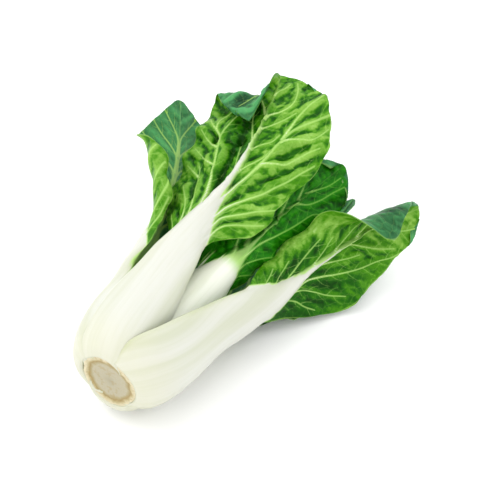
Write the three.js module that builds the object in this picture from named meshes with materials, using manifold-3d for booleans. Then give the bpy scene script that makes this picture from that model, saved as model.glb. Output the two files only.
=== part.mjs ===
// A head of bok choy, cut at the root and lying on its side, in millimetres.
//
// The head's axis runs along +Y, from the cut end of the crown to the leaf tips, and +Z is up.
// The head is a crown, the short stem that every leaf grows from, and nine leaves: four outer
// ones, four inside them and one at the heart. Each leaf is two solids: a thick white stalk, which
// narrows into the midrib, and a thin green blade, which lies against the midrib's inner side.
//
// A leaf is drawn flat first and then bent. Flat, a point on it has a distance f along the leaf,
// from 0 at the crown to 1 at the tip, and a distance across it in millimetres, negative to the
// left and positive to the right as seen from outside with the tip up. The spine carries it
// lengthwise, and each side bends round the spine by the angles in the leaf's curl table.

import * as THREE from 'three';
import { mergeVertices } from 'three/addons/utils/BufferGeometryUtils.js';
import Module from 'manifold-3d';

const wasm = await Module();
wasm.setup();

// ---------------------------------------------------------------- driving dimensions

const CROWN_RADIUS = 20.5; // of the cut face
const CUT_HEIGHT = 38; // of the middle of the cut face over the surface the head lies on
const STALK_HALF_WIDTH = 31; // of an outer leaf's stalk where the head is fattest
const STALK_THICKNESS = 9; // in the middle of the stalk, at the same place
const STALK_EDGE = 1.0; // its thickness along the two edges
const BLADE_THICKNESS = 0.9;
const GAP = 0.35; // between two solids that touch
const SEAT = 1.2; // of a stalk's inner side over the middle of its blade
const SLIVER = 0.01; // facets thinner than this are merged after a cut
const FLOOR_CLEARANCE = 0.5; // of the middle of a blade that lies on the surface
const FLOOR_EASING = 2.5; // height over the clearance from which a blade bends to lie flat
const MIDRIB_END = 0.95; // where the midrib stops, along a leaf
const SQUARE_FOOT = 0.08; // up to here a leaf turns from square to the head's axis to its spine

const CROWN_COLOUR = '#dccfa6';
const STALK_COLOUR = '#eef2e0';
const OUTER_BLADE_COLOUR = '#4f9a30';
const INNER_BLADE_COLOUR = '#2f7a2c';

// ---------------------------------------------------------------- the leaves

// spine: where the middle of the leaf's inner face runs, from the crown to the tip.
// facing: the way the outer face looks at each spine point, in degrees round the head's axis: 0 is
//   up, 90 is +X and 180 is down.
// breadth, stout: the stalk's width and thickness, as shares of the driving dimensions.
// left, right: the blade's half width on either side, as [f, millimetres].
// curl: [f, left angle at the spine, its turn by the edge, right angle, its turn]. A positive angle
//   bends a side inward, to the head's axis.
// roll: how late the turn comes, from 1, evenly, to 3, close to the edge.
// ruffle: the height of the waves along the edge, their number and their start on either side.
// tuck: how far the edges of the stalk's foot lie under (+) or over (-) the neighbours.
// foldBack: where the left side's end starts to fold outward, and the fold's radius.
const LEAVES = [
  {
    name: 'right_leaf',
    colour: OUTER_BLADE_COLOUR,
    detail: 'fine',
    spine: [[18.5, 1, 41], [21.5, 5, 41], [26, 15, 41], [32, 38, 41], [37, 70, 40], [44, 100, 36],
      [51, 130, 32], [57, 160, 34], [68, 188, 40], [82, 216, 46], [101, 244, 50]],
    facing: [79, 80, 83, 91, 95, 90, 82, 76, 74, 74, 76],
    breadth: 1.0,
    stout: 1.0,
    left: [[0.38, 16], [0.44, 22], [0.52, 28], [0.62, 32], [0.7, 31], [0.78, 35], [0.84, 44], [0.9, 45],
      [0.95, 34], [0.98, 22], [1, 10]],
    right: [[0.4, 14], [0.5, 18], [0.57, 29], [0.66, 39], [0.77, 36], [0.86, 31], [0.94, 26], [0.985, 23],
      [1, 14]],
    curl: [
      [0.0, 0, 75, 0, 75],
      [0.04, 0, 64, 0, 72],
      [0.1, 0, 50, 0, 64],
      [0.2, 0, 46, 0, 56],
      [0.4, 0, 50, 0, 45],
      [0.5, 8, 100, -8, 0],
      [0.62, 4, 125, -24, 0],
      [0.7, -2, 105, -32, 5],
      [0.76, -10, 0, -31, 8],
      [0.82, -18, -130, -30, 10],
      [0.9, -20, -165, -28, 14],
      [0.95, -20, -150, -26, 20],
      [1.0, -22, -60, -20, 30],
    ],
    roll: 1.6,
    ruffle: { height: 1.5, waves: 4, left: 0.1, right: 0.6 },
    tuck: { left: -8, right: 1 },
  },
  {
    name: 'top_leaf',
    colour: OUTER_BLADE_COLOUR,
    detail: 'fine',
    spine: [[-5, 1, 55.5], [-5.5, 5, 59], [-6, 15, 63.5], [-5, 40, 71], [-7, 69, 73], [-8.5, 95, 76],
      [-9, 120, 79.5], [-8.5, 146, 84], [-8, 172, 91], [-10, 200, 100], [-16, 232, 109], [-24.5, 260, 113]],
    facing: [-16, -15, -13, -10, -10, -8, -4, 0, 4, 4, 2, 0],
    breadth: 0.82,
    stout: 1.0,
    left: [[0.38, 14], [0.43, 26], [0.5, 42], [0.62, 51], [0.75, 51], [0.86, 48], [0.94, 42], [0.98, 34],
      [1, 24]],
    right: [[0.38, 12], [0.43, 18], [0.48, 30], [0.53, 39], [0.57, 41], [0.61, 39], [0.66, 43], [0.75, 51],
      [0.84, 49], [0.93, 43.5], [0.98, 37], [1, 28]],
    curl: [
      [0.0, 0, 66, 0, 75],
      [0.04, 0, 64, 0, 74],
      [0.1, 0, 56, 0, 68],
      [0.2, 0, 52, 0, 56],
      [0.38, 0, 52, 0, 50],
      [0.5, 0, 45, 5, 32],
      [0.62, 0, 42, 0, 35],
      [0.75, 0, 36, -6, 30],
      [0.9, 5, 20, -6, 14],
      [1.0, 5, 0, 0, 0],
    ],
    roll: 1.0,
    ruffle: { height: 2.4, waves: 4.5, left: 0.3, right: 0.0 },
    tuck: { left: -4, right: 6 },
    foldBack: { from: 0.86, radius: 5 },
  },
  {
    name: 'left_leaf',
    colour: OUTER_BLADE_COLOUR,
    detail: 'fine',
    spine: [[-18.8, 1, 38], [-22, 5, 38], [-26, 15, 38], [-31, 38, 41], [-33, 66, 46], [-39, 95, 52],
      [-45, 120, 58], [-51, 146, 64], [-61, 172, 72], [-74, 196, 82], [-86, 216, 95]],
    facing: [-97, -98, -98, -97, -95, -94, -96, -102, -108, -114, -118],
    breadth: 0.95,
    stout: 0.95,
    left: [[0.38, 15], [0.46, 24], [0.55, 30], [0.66, 34], [0.78, 36], [0.88, 33], [0.95, 26], [0.985, 18],
      [1, 9]],
    right: [[0.4, 15], [0.48, 20], [0.56, 30], [0.66, 44], [0.75, 46], [0.8, 40], [0.86, 32], [0.92, 26],
      [0.97, 18], [1, 8]],
    curl: [
      [0.0, 0, 75, 0, 75],
      [0.04, 0, 72, 0, 74],
      [0.1, 0, 62, 0, 66],
      [0.2, 0, 56, 0, 56],
      [0.38, 0, 55, 0, 55],
      [0.48, 10, 40, 0, 110],
      [0.58, 10, 40, -16, 190],
      [0.68, 10, 30, -34, 215],
      [0.76, 5, 20, -40, 160],
      [0.83, 5, 10, -36, 30],
      [0.92, 5, 10, -22, 0],
      [1.0, 0, 0, -10, 0],
    ],
    roll: 2.2,
    ruffle: { height: 2, waves: 4, left: 0.2, right: 0.5 },
    tuck: { left: 1, right: 4 },
  },
  {
    name: 'under_leaf',
    colour: OUTER_BLADE_COLOUR,
    detail: 'fine',
    spine: [[-1, 1, 19.2], [-2, 5, 16.2], [-4, 15, 12], [-5, 38, 9], [-2, 70, 8.4], [5, 105, 7.8],
      [14, 138, 6], [25, 172, 4], [36, 205, 5], [46, 238, 12]],
    facing: [186, 186, 186, 185, 184, 182, 180, 180, 180, 180],
    breadth: 0.95,
    stout: 0.9,
    left: [[0.38, 11], [0.46, 18], [0.52, 32], [0.59, 42], [0.78, 44], [0.88, 38], [0.95, 27], [0.985, 16],
      [1, 4]],
    right: [[0.38, 15], [0.46, 28], [0.52, 36], [0.61, 42], [0.78, 46], [0.88, 40], [0.95, 28], [0.985, 16],
      [1, 4]],
    curl: [
      [0.0, 0, 75, 0, 75],
      [0.04, 0, 72, 0, 72],
      [0.1, 0, 64, 0, 64],
      [0.2, 0, 56, 0, 56],
      [0.38, 0, 45, 0, 45],
      [0.5, 0, 10, 0, 20],
      [0.75, 0, 20, 0, 30],
      [0.9, 0, 20, 0, 20],
      [1.0, 0, 10, 0, 10],
    ],
    roll: 1.4,
    ruffle: { height: 3, waves: 4, left: 0.2, right: 0.5 },
    tuck: { left: 2, right: 2 },
  },
  {
    name: 'middle_leaf',
    colour: INNER_BLADE_COLOUR,
    detail: 'coarse',
    spine: [[8, 10, 45], [13, 20, 51], [16, 40, 54], [15, 62, 53], [16, 88, 53], [18, 114, 55],
      [21, 140, 57], [25, 174, 59], [31, 209, 61], [39.5, 243, 65.5]],
    facing: [45, 45, 45, 44, 42, 38, 34, 30, 28, 26],
    breadth: 0.78,
    stout: 0.85,
    left: [[0.38, 12], [0.46, 26], [0.55, 36], [0.66, 42], [0.78, 44], [0.88, 36], [0.95, 26], [0.985, 14],
      [1, 4]],
    right: [[0.38, 12], [0.46, 18], [0.55, 19], [0.66, 20], [0.78, 29], [0.88, 31], [0.95, 25], [0.985, 17],
      [1, 8]],
    curl: [
      [0.0, 0, 45, 0, 45],
      [0.14, 0, 60, 0, 60],
      [0.4, 0, 50, 0, 45],
      [0.55, -5, 20, 5, 40],
      [0.75, -10, 10, 5, 45],
      [0.9, -8, 10, 0, 30],
      [1.0, 0, 10, 0, 10],
    ],
    roll: 1.0,
    ruffle: { height: 2.5, waves: 4, left: 0.2, right: 0.5 },
    tuck: { left: 0, right: 0 },
  },
  {
    name: 'inner_left_leaf',
    colour: INNER_BLADE_COLOUR,
    detail: 'coarse',
    spine: [[-10, 10, 44], [-17, 20, 49], [-20, 40, 51], [-20, 64, 51], [-22, 90, 52], [-28, 116, 54],
      [-35, 142, 57], [-40, 166, 61]],
    facing: [-58, -58, -58, -58, -60, -64, -68, -72],
    breadth: 0.66,
    stout: 0.7,
    left: [[0.44, 9], [0.55, 20], [0.66, 26], [0.78, 28], [0.88, 24], [0.95, 17], [0.985, 10], [1, 3]],
    right: [[0.44, 9], [0.55, 15], [0.66, 18], [0.78, 18], [0.88, 15], [0.95, 11], [0.985, 7], [1, 3]],
    curl: [
      [0.0, 0, 45, 0, 45],
      [0.14, 0, 60, 0, 60],
      [0.45, 0, 50, 0, 50],
      [0.6, 0, 50, 0, 70],
      [0.85, 0, 40, 0, 60],
      [1.0, 0, 20, 0, 20],
    ],
    roll: 1.0,
    ruffle: { height: 2, waves: 4, left: 0.2, right: 0.5 },
    tuck: { left: 1, right: 1 },
  },
  {
    name: 'inner_right_leaf',
    colour: INNER_BLADE_COLOUR,
    detail: 'coarse',
    spine: [[9, 10, 36], [16, 20, 31], [20, 40, 28], [22, 66, 27], [26, 94, 26], [32, 122, 26],
      [38, 150, 28], [44, 176, 32], [50, 202, 38], [55, 226, 44]],
    facing: [130, 130, 130, 128, 126, 126, 130, 136, 142, 148],
    breadth: 0.66,
    stout: 0.75,
    left: [[0.42, 9], [0.52, 20], [0.64, 28], [0.78, 30], [0.88, 26], [0.95, 20], [0.985, 12], [1, 3]],
    right: [[0.42, 9], [0.52, 16], [0.64, 20], [0.78, 20], [0.88, 17], [0.95, 13], [0.985, 8], [1, 3]],
    curl: [
      [0.0, 0, 45, 0, 45],
      [0.14, 0, 60, 0, 60],
      [0.42, 0, 50, 0, 50],
      [0.6, 10, 50, 10, 60],
      [0.85, 5, 40, 5, 40],
      [1.0, 0, 20, 0, 20],
    ],
    roll: 1.0,
    ruffle: { height: 2, waves: 4, left: 0.2, right: 0.5 },
    tuck: { left: 1, right: 1 },
  },
  {
    name: 'inner_under_leaf',
    colour: INNER_BLADE_COLOUR,
    detail: 'coarse',
    spine: [[-9, 10, 34], [-15, 20, 28], [-19, 40, 25.5], [-20, 66, 26], [-24, 94, 28], [-30, 122, 31],
      [-38, 148, 35], [-46, 172, 40]],
    facing: [-132, -132, -132, -130, -126, -122, -118, -116],
    breadth: 0.66,
    stout: 0.7,
    left: [[0.44, 9], [0.55, 17], [0.66, 22], [0.78, 24], [0.88, 20], [0.95, 15], [0.985, 9], [1, 3]],
    right: [[0.44, 9], [0.55, 16], [0.66, 20], [0.78, 22], [0.88, 19], [0.95, 14], [0.985, 8], [1, 3]],
    curl: [
      [0.0, 0, 45, 0, 45],
      [0.14, 0, 60, 0, 60],
      [0.45, 0, 50, 0, 50],
      [0.6, 0, 50, 0, 60],
      [0.85, 0, 40, 0, 40],
      [1.0, 0, 20, 0, 20],
    ],
    roll: 1.0,
    ruffle: { height: 2, waves: 4, left: 0.2, right: 0.5 },
    tuck: { left: 1, right: 1 },
  },
  {
    name: 'heart_leaf',
    colour: INNER_BLADE_COLOUR,
    detail: 'coarse',
    spine: [[-2, 20, 40], [-3, 34, 40], [-3, 54, 40], [-2, 78, 40], [0, 102, 41], [4, 126, 43],
      [9, 148, 46]],
    facing: [0, 0, 0, 4, 8, 10, 12],
    breadth: 0.36,
    stout: 0.6,
    left: [[0.48, 5], [0.58, 11], [0.7, 14], [0.82, 13], [0.92, 10], [0.98, 6], [1, 3]],
    right: [[0.48, 5], [0.58, 11], [0.7, 14], [0.82, 13], [0.92, 10], [0.98, 6], [1, 3]],
    curl: [
      [0.0, 0, 60, 0, 60],
      [0.45, 0, 60, 0, 60],
      [0.7, 0, 70, 0, 70],
      [1.0, 0, 50, 0, 50],
    ],
    roll: 1.0,
    ruffle: { height: 1.5, waves: 4, left: 0.2, right: 0.5 },
    tuck: { left: 0, right: 0 },
  },
];

// ---------------------------------------------------------------- profiles along a leaf

// Stalk and midrib, as shares of the widest and thickest: [f, half width, thickness].
const STALK_PROFILE = [
  [0.0, 0.66, 0.22],
  [0.02, 0.8, 0.58],
  [0.045, 0.93, 0.82],
  [0.1, 1.0, 1.0],
  [0.17, 0.98, 0.97],
  [0.26, 0.8, 0.88],
  [0.4, 0.57, 0.76],
  [0.5, 0.44, 0.6],
  [0.6, 0.235, 0.44],
  [0.72, 0.115, 0.28],
  [0.86, 0.06, 0.15],
  [0.95, 0.037, 0.08],
];
const DEGREE = Math.PI / 180;
const BEND_STEPS = 12; // steps of the sum that bends a side
const FOLD_ANGLE = 182 * DEGREE; // of a tip that is folded back

// How many rows and columns of points a leaf's solids have.
const DETAIL = {
  fine: { stalkRows: 22, stalkColumns: 9, bladeRows: 16, bladeColumns: 13 },
  coarse: { stalkRows: 16, stalkColumns: 7, bladeRows: 11, bladeColumns: 9 },
};

// A smooth curve through a table's rows, read at x: column 0 is x and the rest are values.
function readTable(rows, x, column) {
  const last = rows.length - 1;
  let i = 0;
  while (i < last - 1 && x > rows[i + 1][0]) i++;
  const slope = (k) => {
    const a = rows[Math.max(0, k - 1)];
    const b = rows[Math.min(last, k + 1)];
    return (b[column] - a[column]) / (b[0] - a[0]);
  };
  const width = rows[i + 1][0] - rows[i][0];
  const t = Math.min(1, Math.max(0, (x - rows[i][0]) / width));
  const t2 = t * t;
  const t3 = t2 * t;
  return (2 * t3 - 3 * t2 + 1) * rows[i][column] + (t3 - 2 * t2 + t) * width * slope(i)
    + (3 * t2 - 2 * t3) * rows[i + 1][column] + (t3 - t2) * width * slope(i + 1);
}

function smoothstep(low, high, x) {
  const t = Math.min(1, Math.max(0, (x - low) / (high - low)));
  return t * t * (3 - 2 * t);
}

const stalkHalfWidth = (leaf, f) => STALK_HALF_WIDTH * leaf.breadth * readTable(STALK_PROFILE, f, 1);
const stalkThickness = (leaf, f) => STALK_THICKNESS * leaf.stout * readTable(STALK_PROFILE, f, 2);
const bladeHalfWidth = (leaf, f, side) => Math.max(2, readTable(side < 0 ? leaf.left : leaf.right, f, 1));
const bladeStart = (leaf) => Math.min(leaf.left[0][0], leaf.right[0][0]);

// The half width over which a side makes its turn: the stalk's, then the blade's.
function turningWidth(leaf, f, side) {
  const start = bladeStart(leaf);
  const open = smoothstep(start - 0.06, start + 0.1, f);
  return (1 - open) * stalkHalfWidth(leaf, f) + open * Math.max(stalkHalfWidth(leaf, f), bladeHalfWidth(leaf, f, side));
}

// ---------------------------------------------------------------- bending a flat leaf

// The middle surface of a leaf, as a function of f and the distance across.
function surfaceOf(leaf) {
  const curve = new THREE.CatmullRomCurve3(leaf.spine.map((p) => new THREE.Vector3(...p)));
  curve.arcLengthDivisions = 400;
  const length = curve.getLength();
  const facings = leaf.facing.map((angle, i) => [i / (leaf.facing.length - 1), angle]);
  const frames = new Map();
  const frameAt = (f) => {
    if (!frames.has(f)) {
      const t = curve.getUtoTmapping(Math.min(1, Math.max(0, f)));
      const at = curve.getPoint(t);
      const square = 1 - smoothstep(0, SQUARE_FOOT, f);
      const along = curve.getTangent(t).lerp(new THREE.Vector3(0, 1, 0), square).normalize();
      const angle = readTable(facings, t, 1) * DEGREE;
      const out = new THREE.Vector3(Math.sin(angle), 0, Math.cos(angle));
      out.addScaledVector(along, -out.dot(along)).normalize();
      frames.set(f, { at, along, out, across: new THREE.Vector3().crossVectors(along, out) });
    }
    return frames.get(f);
  };
  return (f, distance) => {
    const side = distance < 0 ? -1 : 1;
    const far = Math.abs(distance);
    const back = leaf.foldBack ? Math.max(0, f - leaf.foldBack.from) * smoothstep(0, 8, -distance) : 0;
    const frame = frameAt(f - back);
    const half = turningWidth(leaf, f, side);
    const column = side < 0 ? 1 : 3;
    const first = readTable(leaf.curl, f, column) * DEGREE;
    const turn = readTable(leaf.curl, f, column + 1) * DEGREE;
    const roll = 1 + (leaf.roll - 1) * smoothstep(bladeStart(leaf) - 0.1, bladeStart(leaf) + 0.1, f);
    const angleAt = (q) => first + turn * (q / half) ** roll;
    let across = 0;
    let inward = 0;
    for (let i = 0; i < BEND_STEPS; i++) {
      const angle = angleAt((far * (i + 0.5)) / BEND_STEPS);
      across += (Math.cos(angle) * far) / BEND_STEPS;
      inward += (Math.sin(angle) * far) / BEND_STEPS;
    }
    const angle = angleAt(far);
    const point = frame.at.clone()
      .addScaledVector(frame.across, side * across)
      .addScaledVector(frame.out, -inward);
    const foot = (1 - smoothstep(0, 0.36, f)) * (0.4 + 0.6 * smoothstep(0, 0.04, f)) * (far / half) ** 2.5;
    const wave = edgeWave(leaf, f, far / half, side) - foot * (side < 0 ? leaf.tuck.left : leaf.tuck.right);
    point.addScaledVector(frame.out, Math.cos(angle) * wave)
      .addScaledVector(frame.across, side * Math.sin(angle) * wave);
    if (back > 0) {
      const { radius } = leaf.foldBack;
      const bend = (back * length) / radius;
      const turned = Math.min(bend, FOLD_ANGLE);
      const straight = (bend - turned) * radius;
      point.addScaledVector(frame.along, radius * Math.sin(turned) + straight * Math.cos(turned))
        .addScaledVector(frame.out, radius * (1 - Math.cos(turned)) + straight * Math.sin(turned));
    }
    const height = (point.z - FLOOR_CLEARANCE) / FLOOR_EASING;
    if (height < 1) point.z = FLOOR_CLEARANCE + FLOOR_EASING * Math.exp(height - 1);
    return point;
  };
}

function edgeWave(leaf, f, share, side) {
  const { height, waves, left, right } = leaf.ruffle;
  const start = side < 0 ? left : right;
  const edge = share ** 2.5 * smoothstep(bladeStart(leaf), bladeStart(leaf) + 0.25, f);
  return height * edge * Math.sin(2 * Math.PI * (waves * f * 2 + start));
}

// A point at a height over the middle surface, on its outer side.
function raised(surface, f, distance, height) {
  const df = 0.002;
  const dx = 0.3;
  const along = surface(f + df, distance).sub(surface(f - df, distance));
  const across = surface(f, distance + dx).sub(surface(f, distance - dx));
  const out = across.cross(along).normalize();
  return surface(f, distance).addScaledVector(out, height);
}

// ---------------------------------------------------------------- solids

// Rows of outer and inner points, as one closed mesh: two faces split alike, and the rim.
function solidBetween(outer, inner) {
  const rows = outer.length;
  const columns = outer[0].length;
  const points = [...outer.flat(), ...inner.flat()];
  const index = [];
  const top = (r, c) => r * columns + c;
  const bottom = (r, c) => rows * columns + top(r, c);
  const quad = (a, b, c, d) => index.push(a, b, c, a, c, d);
  for (let r = 0; r < rows - 1; r++) {
    for (let c = 0; c < columns - 1; c++) {
      quad(top(r, c), top(r, c + 1), top(r + 1, c + 1), top(r + 1, c));
      index.push(bottom(r, c), bottom(r + 1, c + 1), bottom(r, c + 1));
      index.push(bottom(r, c), bottom(r + 1, c), bottom(r + 1, c + 1));
    }
    quad(top(r + 1, 0), bottom(r + 1, 0), bottom(r, 0), top(r, 0));
    quad(top(r, columns - 1), bottom(r, columns - 1), bottom(r + 1, columns - 1), top(r + 1, columns - 1));
  }
  for (let c = 0; c < columns - 1; c++) {
    quad(top(0, c), bottom(0, c), bottom(0, c + 1), top(0, c + 1));
    quad(top(rows - 1, c + 1), bottom(rows - 1, c + 1), bottom(rows - 1, c), top(rows - 1, c));
  }
  return solidOf(points, index);
}

function solidOf(points, index) {
  const positions = new Float32Array(points.flatMap((p) => [p.x, p.y, p.z]));
  const geometry = new THREE.BufferGeometry();
  geometry.setAttribute('position', new THREE.BufferAttribute(positions, 3));
  geometry.setIndex(index);
  const merged = mergeVertices(geometry, 1e-4);
  return new wasm.Manifold(new wasm.Mesh({
    numProp: 3,
    vertProperties: merged.attributes.position.array,
    triVerts: new Uint32Array(merged.index.array),
  }));
}

function spread(count, shape = (t) => t) {
  return Array.from({ length: count }, (_, i) => shape(i / (count - 1)));
}

// The stalk and its midrib. grown makes it fatter all round, as a cutter that leaves a gap.
function stalkSolid(leaf, surface, grown = 0) {
  const rows = spread(DETAIL[leaf.detail].stalkRows, (t) => t ** 1.3 * MIDRIB_END);
  const columns = spread(DETAIL[leaf.detail].stalkColumns, (t) => Math.sin((t - 0.5) * Math.PI));
  const under = SEAT - grown;
  const outer = [];
  const inner = [];
  for (const f of rows) {
    const half = Math.max(1, stalkHalfWidth(leaf, f)) + grown;
    const thick = stalkThickness(leaf, f);
    const arch = (c) => STALK_EDGE + thick * Math.max(0, 1 - c * c) ** 0.6;
    outer.push(columns.map((c) => raised(surface, f, c * half, under + 2 * grown + arch(c))));
    inner.push(columns.map((c) => raised(surface, f, c * half, under)));
  }
  return solidBetween(outer, inner);
}

function bladeSolid(leaf, surface, grown = 0) {
  const start = bladeStart(leaf);
  const rows = spread(DETAIL[leaf.detail].bladeRows, (t) => start + (0.999 - start) * Math.sin((t * Math.PI) / 2) ** 0.9);
  const columns = spread(DETAIL[leaf.detail].bladeColumns, (t) => 2 * t - 1);
  const lift = BLADE_THICKNESS / 2 + grown;
  const outer = [];
  const inner = [];
  for (const f of rows) {
    const distances = columns.map((c) => c * (bladeHalfWidth(leaf, f, Math.sign(c)) + grown));
    outer.push(distances.map((d) => raised(surface, f, d, lift)));
    inner.push(distances.map((d) => raised(surface, f, d, -lift)));
  }
  return solidBetween(outer, inner);
}

// The crown: a turned stem, with the cut face at y = 0.
function crownSolid(grown = 0) {
  const outline = [[0, 0], [CROWN_RADIUS - 0.8, 0], [CROWN_RADIUS, 0.8], [CROWN_RADIUS + 0.6, 2.5],
    [CROWN_RADIUS + 1, 5], [18, 10], [12, 16], [6, 21], [0, 24 + grown]];
  const profile = outline.map(([r, y]) => new THREE.Vector2(r > 0 ? r + grown : 0, y));
  const turned = mergeVertices(new THREE.LatheGeometry(profile, 32).deleteAttribute('uv').deleteAttribute('normal'), 1e-4);
  const { position } = turned.attributes;
  const points = [];
  for (let i = 0; i < position.count; i++) {
    points.push(new THREE.Vector3(position.getX(i), position.getY(i), CUT_HEIGHT - position.getZ(i)));
  }
  const index = [];
  for (let i = 0; i < turned.index.count; i += 3) {
    const [a, b, c] = [0, 1, 2].map((k) => turned.index.getX(i + k));
    if (a !== b && b !== c && c !== a) index.push(a, c, b);
  }
  return solidOf(points, index);
}

function largestBody(solid) {
  return solid.decompose().reduce((best, body) => (body.volume() > best.volume() ? body : best));
}

function meshOf(name, solid, colour) {
  const { numProp, numVert, vertProperties, triVerts } = solid.getMesh();
  const positions = new Float32Array(numVert * 3);
  for (let i = 0; i < numVert; i++) positions.set(vertProperties.subarray(i * numProp, i * numProp + 3), i * 3);
  const geometry = new THREE.BufferGeometry();
  geometry.setAttribute('position', new THREE.BufferAttribute(positions, 3));
  geometry.setIndex(new THREE.BufferAttribute(triVerts, 1));
  geometry.computeVertexNormals();
  const mesh = new THREE.Mesh(geometry, new THREE.MeshStandardMaterial({ color: colour, roughness: 0.5 }));
  mesh.name = name;
  return mesh;
}

// ---------------------------------------------------------------- the head

// Each leaf gives way to the crown and to the leaves listed before it, which lie outside it, and a
// stalk gives way to its own blade.
const bodies = [{ name: 'crown', solid: crownSolid(), colour: CROWN_COLOUR }];
let taken = crownSolid(GAP);
for (const leaf of LEAVES) {
  const surface = surfaceOf(leaf);
  const fitted = (solid) => largestBody(solid.subtract(taken).trimByPlane([0, 0, 1], 0).simplify(SLIVER));
  const blade = fitted(bladeSolid(leaf, surface));
  const stalk = fitted(stalkSolid(leaf, surface).subtract(blade));
  bodies.push({ name: `${leaf.name}_blade`, solid: blade, colour: leaf.colour });
  bodies.push({ name: `${leaf.name}_stalk`, solid: stalk, colour: STALK_COLOUR });
  const room = [bladeSolid(leaf, surface, GAP), stalkSolid(leaf, surface, GAP)];
  taken = wasm.Manifold.union([taken, blade, stalk, ...room]);
}

// The origin goes to the middle of the head's footprint, on the surface it lies on.
const head = new THREE.Group();
for (const { name, solid, colour } of bodies) head.add(meshOf(name, solid, colour));
const bounds = new THREE.Box3().setFromObject(head, true);
const middle = bounds.getCenter(new THREE.Vector3());
head.position.set(-middle.x, -middle.y, -bounds.min.z);
const group = new THREE.Group();
group.add(head);

export default group;
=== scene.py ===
"""A head of bok choy, cut at the root and lying on its side, dressed for a close look.

Every leaf is drawn flat in millimetres, with its veins, and then bent along its spine, as the
solids of the frame are. Flat, a point has a distance f along the leaf, from 0 at the crown to 1 at
the tip, and a distance across in millimetres, negative to the left and positive to the right as
seen from outside with the tip up.
"""

import math

import bpy
import numpy as np
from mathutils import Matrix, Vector
from mathutils.kdtree import KDTree


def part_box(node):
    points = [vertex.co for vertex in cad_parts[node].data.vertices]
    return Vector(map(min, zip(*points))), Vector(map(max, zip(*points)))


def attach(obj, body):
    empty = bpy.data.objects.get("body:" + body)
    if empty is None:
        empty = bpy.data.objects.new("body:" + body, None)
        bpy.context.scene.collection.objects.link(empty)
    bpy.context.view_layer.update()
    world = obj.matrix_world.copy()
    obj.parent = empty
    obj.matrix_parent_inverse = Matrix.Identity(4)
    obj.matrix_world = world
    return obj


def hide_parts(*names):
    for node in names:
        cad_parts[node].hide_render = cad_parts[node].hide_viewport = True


bl_info = {
    "name": "Bok Choy",
    "version": (1, 0, 0),
    "blender": (4, 5, 0),
    "location": "View3D > Sidebar > Bok Choy",
    "description": "Models a head of bok choy leaf by leaf, with its crown, floor and light",
    "category": "Add Mesh",
}

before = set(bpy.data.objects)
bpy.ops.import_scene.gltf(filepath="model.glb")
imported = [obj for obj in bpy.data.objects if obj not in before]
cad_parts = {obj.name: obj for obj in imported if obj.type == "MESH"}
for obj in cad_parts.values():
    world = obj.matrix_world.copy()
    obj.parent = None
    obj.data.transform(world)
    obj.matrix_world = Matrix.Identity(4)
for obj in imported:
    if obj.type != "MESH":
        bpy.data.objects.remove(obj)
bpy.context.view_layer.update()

MM = 0.001
CUT_HEIGHT = 38.0  # mm, of the middle of the cut face over the surface the head lies on

# The leaf drawings measure from under the middle of the cut face; the frame from its own origin.
_low, _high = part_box("crown")
ORIGIN = np.array([(_low.x + _high.x) / 2, _low.y, (_low.z + _high.z) / 2]) / MM
ORIGIN = ORIGIN - np.array([0.0, 0.0, CUT_HEIGHT])


class BokChoySizes(bpy.types.PropertyGroup):
    """Sizes that every leaf shares"""

    stalk_half_width: bpy.props.FloatProperty(
        name="Stalk half width",
        description="Half width of an outer stalk where the head is fattest",
        default=0.031,
        unit="LENGTH",
    )
    stalk_thickness: bpy.props.FloatProperty(
        name="Stalk thickness",
        description="Thickness in the middle of an outer stalk, at the same place",
        default=0.009,
        unit="LENGTH",
    )
    blade_thickness: bpy.props.FloatProperty(
        name="Blade thickness",
        description="Thickness of the green blade between its veins",
        default=0.0007,
        unit="LENGTH",
    )
    crown_radius: bpy.props.FloatProperty(
        name="Crown radius",
        description="Radius of the cut face of the crown",
        default=0.0205,
        unit="LENGTH",
    )
    net_cell: bpy.props.FloatProperty(
        name="Net cell",
        description="Width of a cell of the finest net of veins",
        default=0.0068,
        unit="LENGTH",
    )


class BokChoyColours(bpy.types.PropertyGroup):
    """Colours of the leaves and the crown, as sRGB hex values"""

    stalk: bpy.props.StringProperty(
        name="Stalk", description="Waxy white of the stalks", default="#cfd0c7"
    )
    # Its broad bands are partly the stalk's green-white streaks and partly painted shade of its shallow
    # folds.
    stalk_shade: bpy.props.StringProperty(
        name="Stalk bands", description="Green-white of the bands in a stalk", default="#b4ba98"
    )
    # The valleys' and ridges' colours below are partly the blade's own darker and paler tones, partly painted
    # shade and painted light.
    blade_deep_and_shade: bpy.props.StringProperty(
        name="Blade valleys", description="Outer face in the valleys between veins", default="#0b3b00"
    )
    blade: bpy.props.StringProperty(
        name="Blade", description="Outer face of an outer blade", default="#42820a"
    )
    blade_pale_and_lit: bpy.props.StringProperty(
        name="Blade ridges", description="Outer face where it stands proud", default="#aace7e"
    )
    heart_blade: bpy.props.StringProperty(
        name="Inner blade", description="Outer face of the blades inside the head", default="#1c7404"
    )
    upper_face: bpy.props.StringProperty(
        name="Upper face", description="Blue-green upper side of the blades", default="#4c9659"
    )
    # Partly the upper face's own darker tone, partly painted shade in its valleys.
    upper_deep_and_shade: bpy.props.StringProperty(
        name="Upper face valleys", description="Upper side of the blades in its valleys", default="#07321a"
    )
    vein: bpy.props.StringProperty(
        name="Veins", description="Fine veins of the blades", default="#9cc866"
    )
    rib: bpy.props.StringProperty(
        name="Ribs", description="Pale yellow-green of the ribs", default="#aed27a"
    )
    cork: bpy.props.StringProperty(
        name="Crown rim", description="Dry rim of the cut face", default="#d3c9a8"
    )
    pith: bpy.props.StringProperty(
        name="Crown pith", description="Moist middle of the cut face", default="#aea890"
    )
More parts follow.
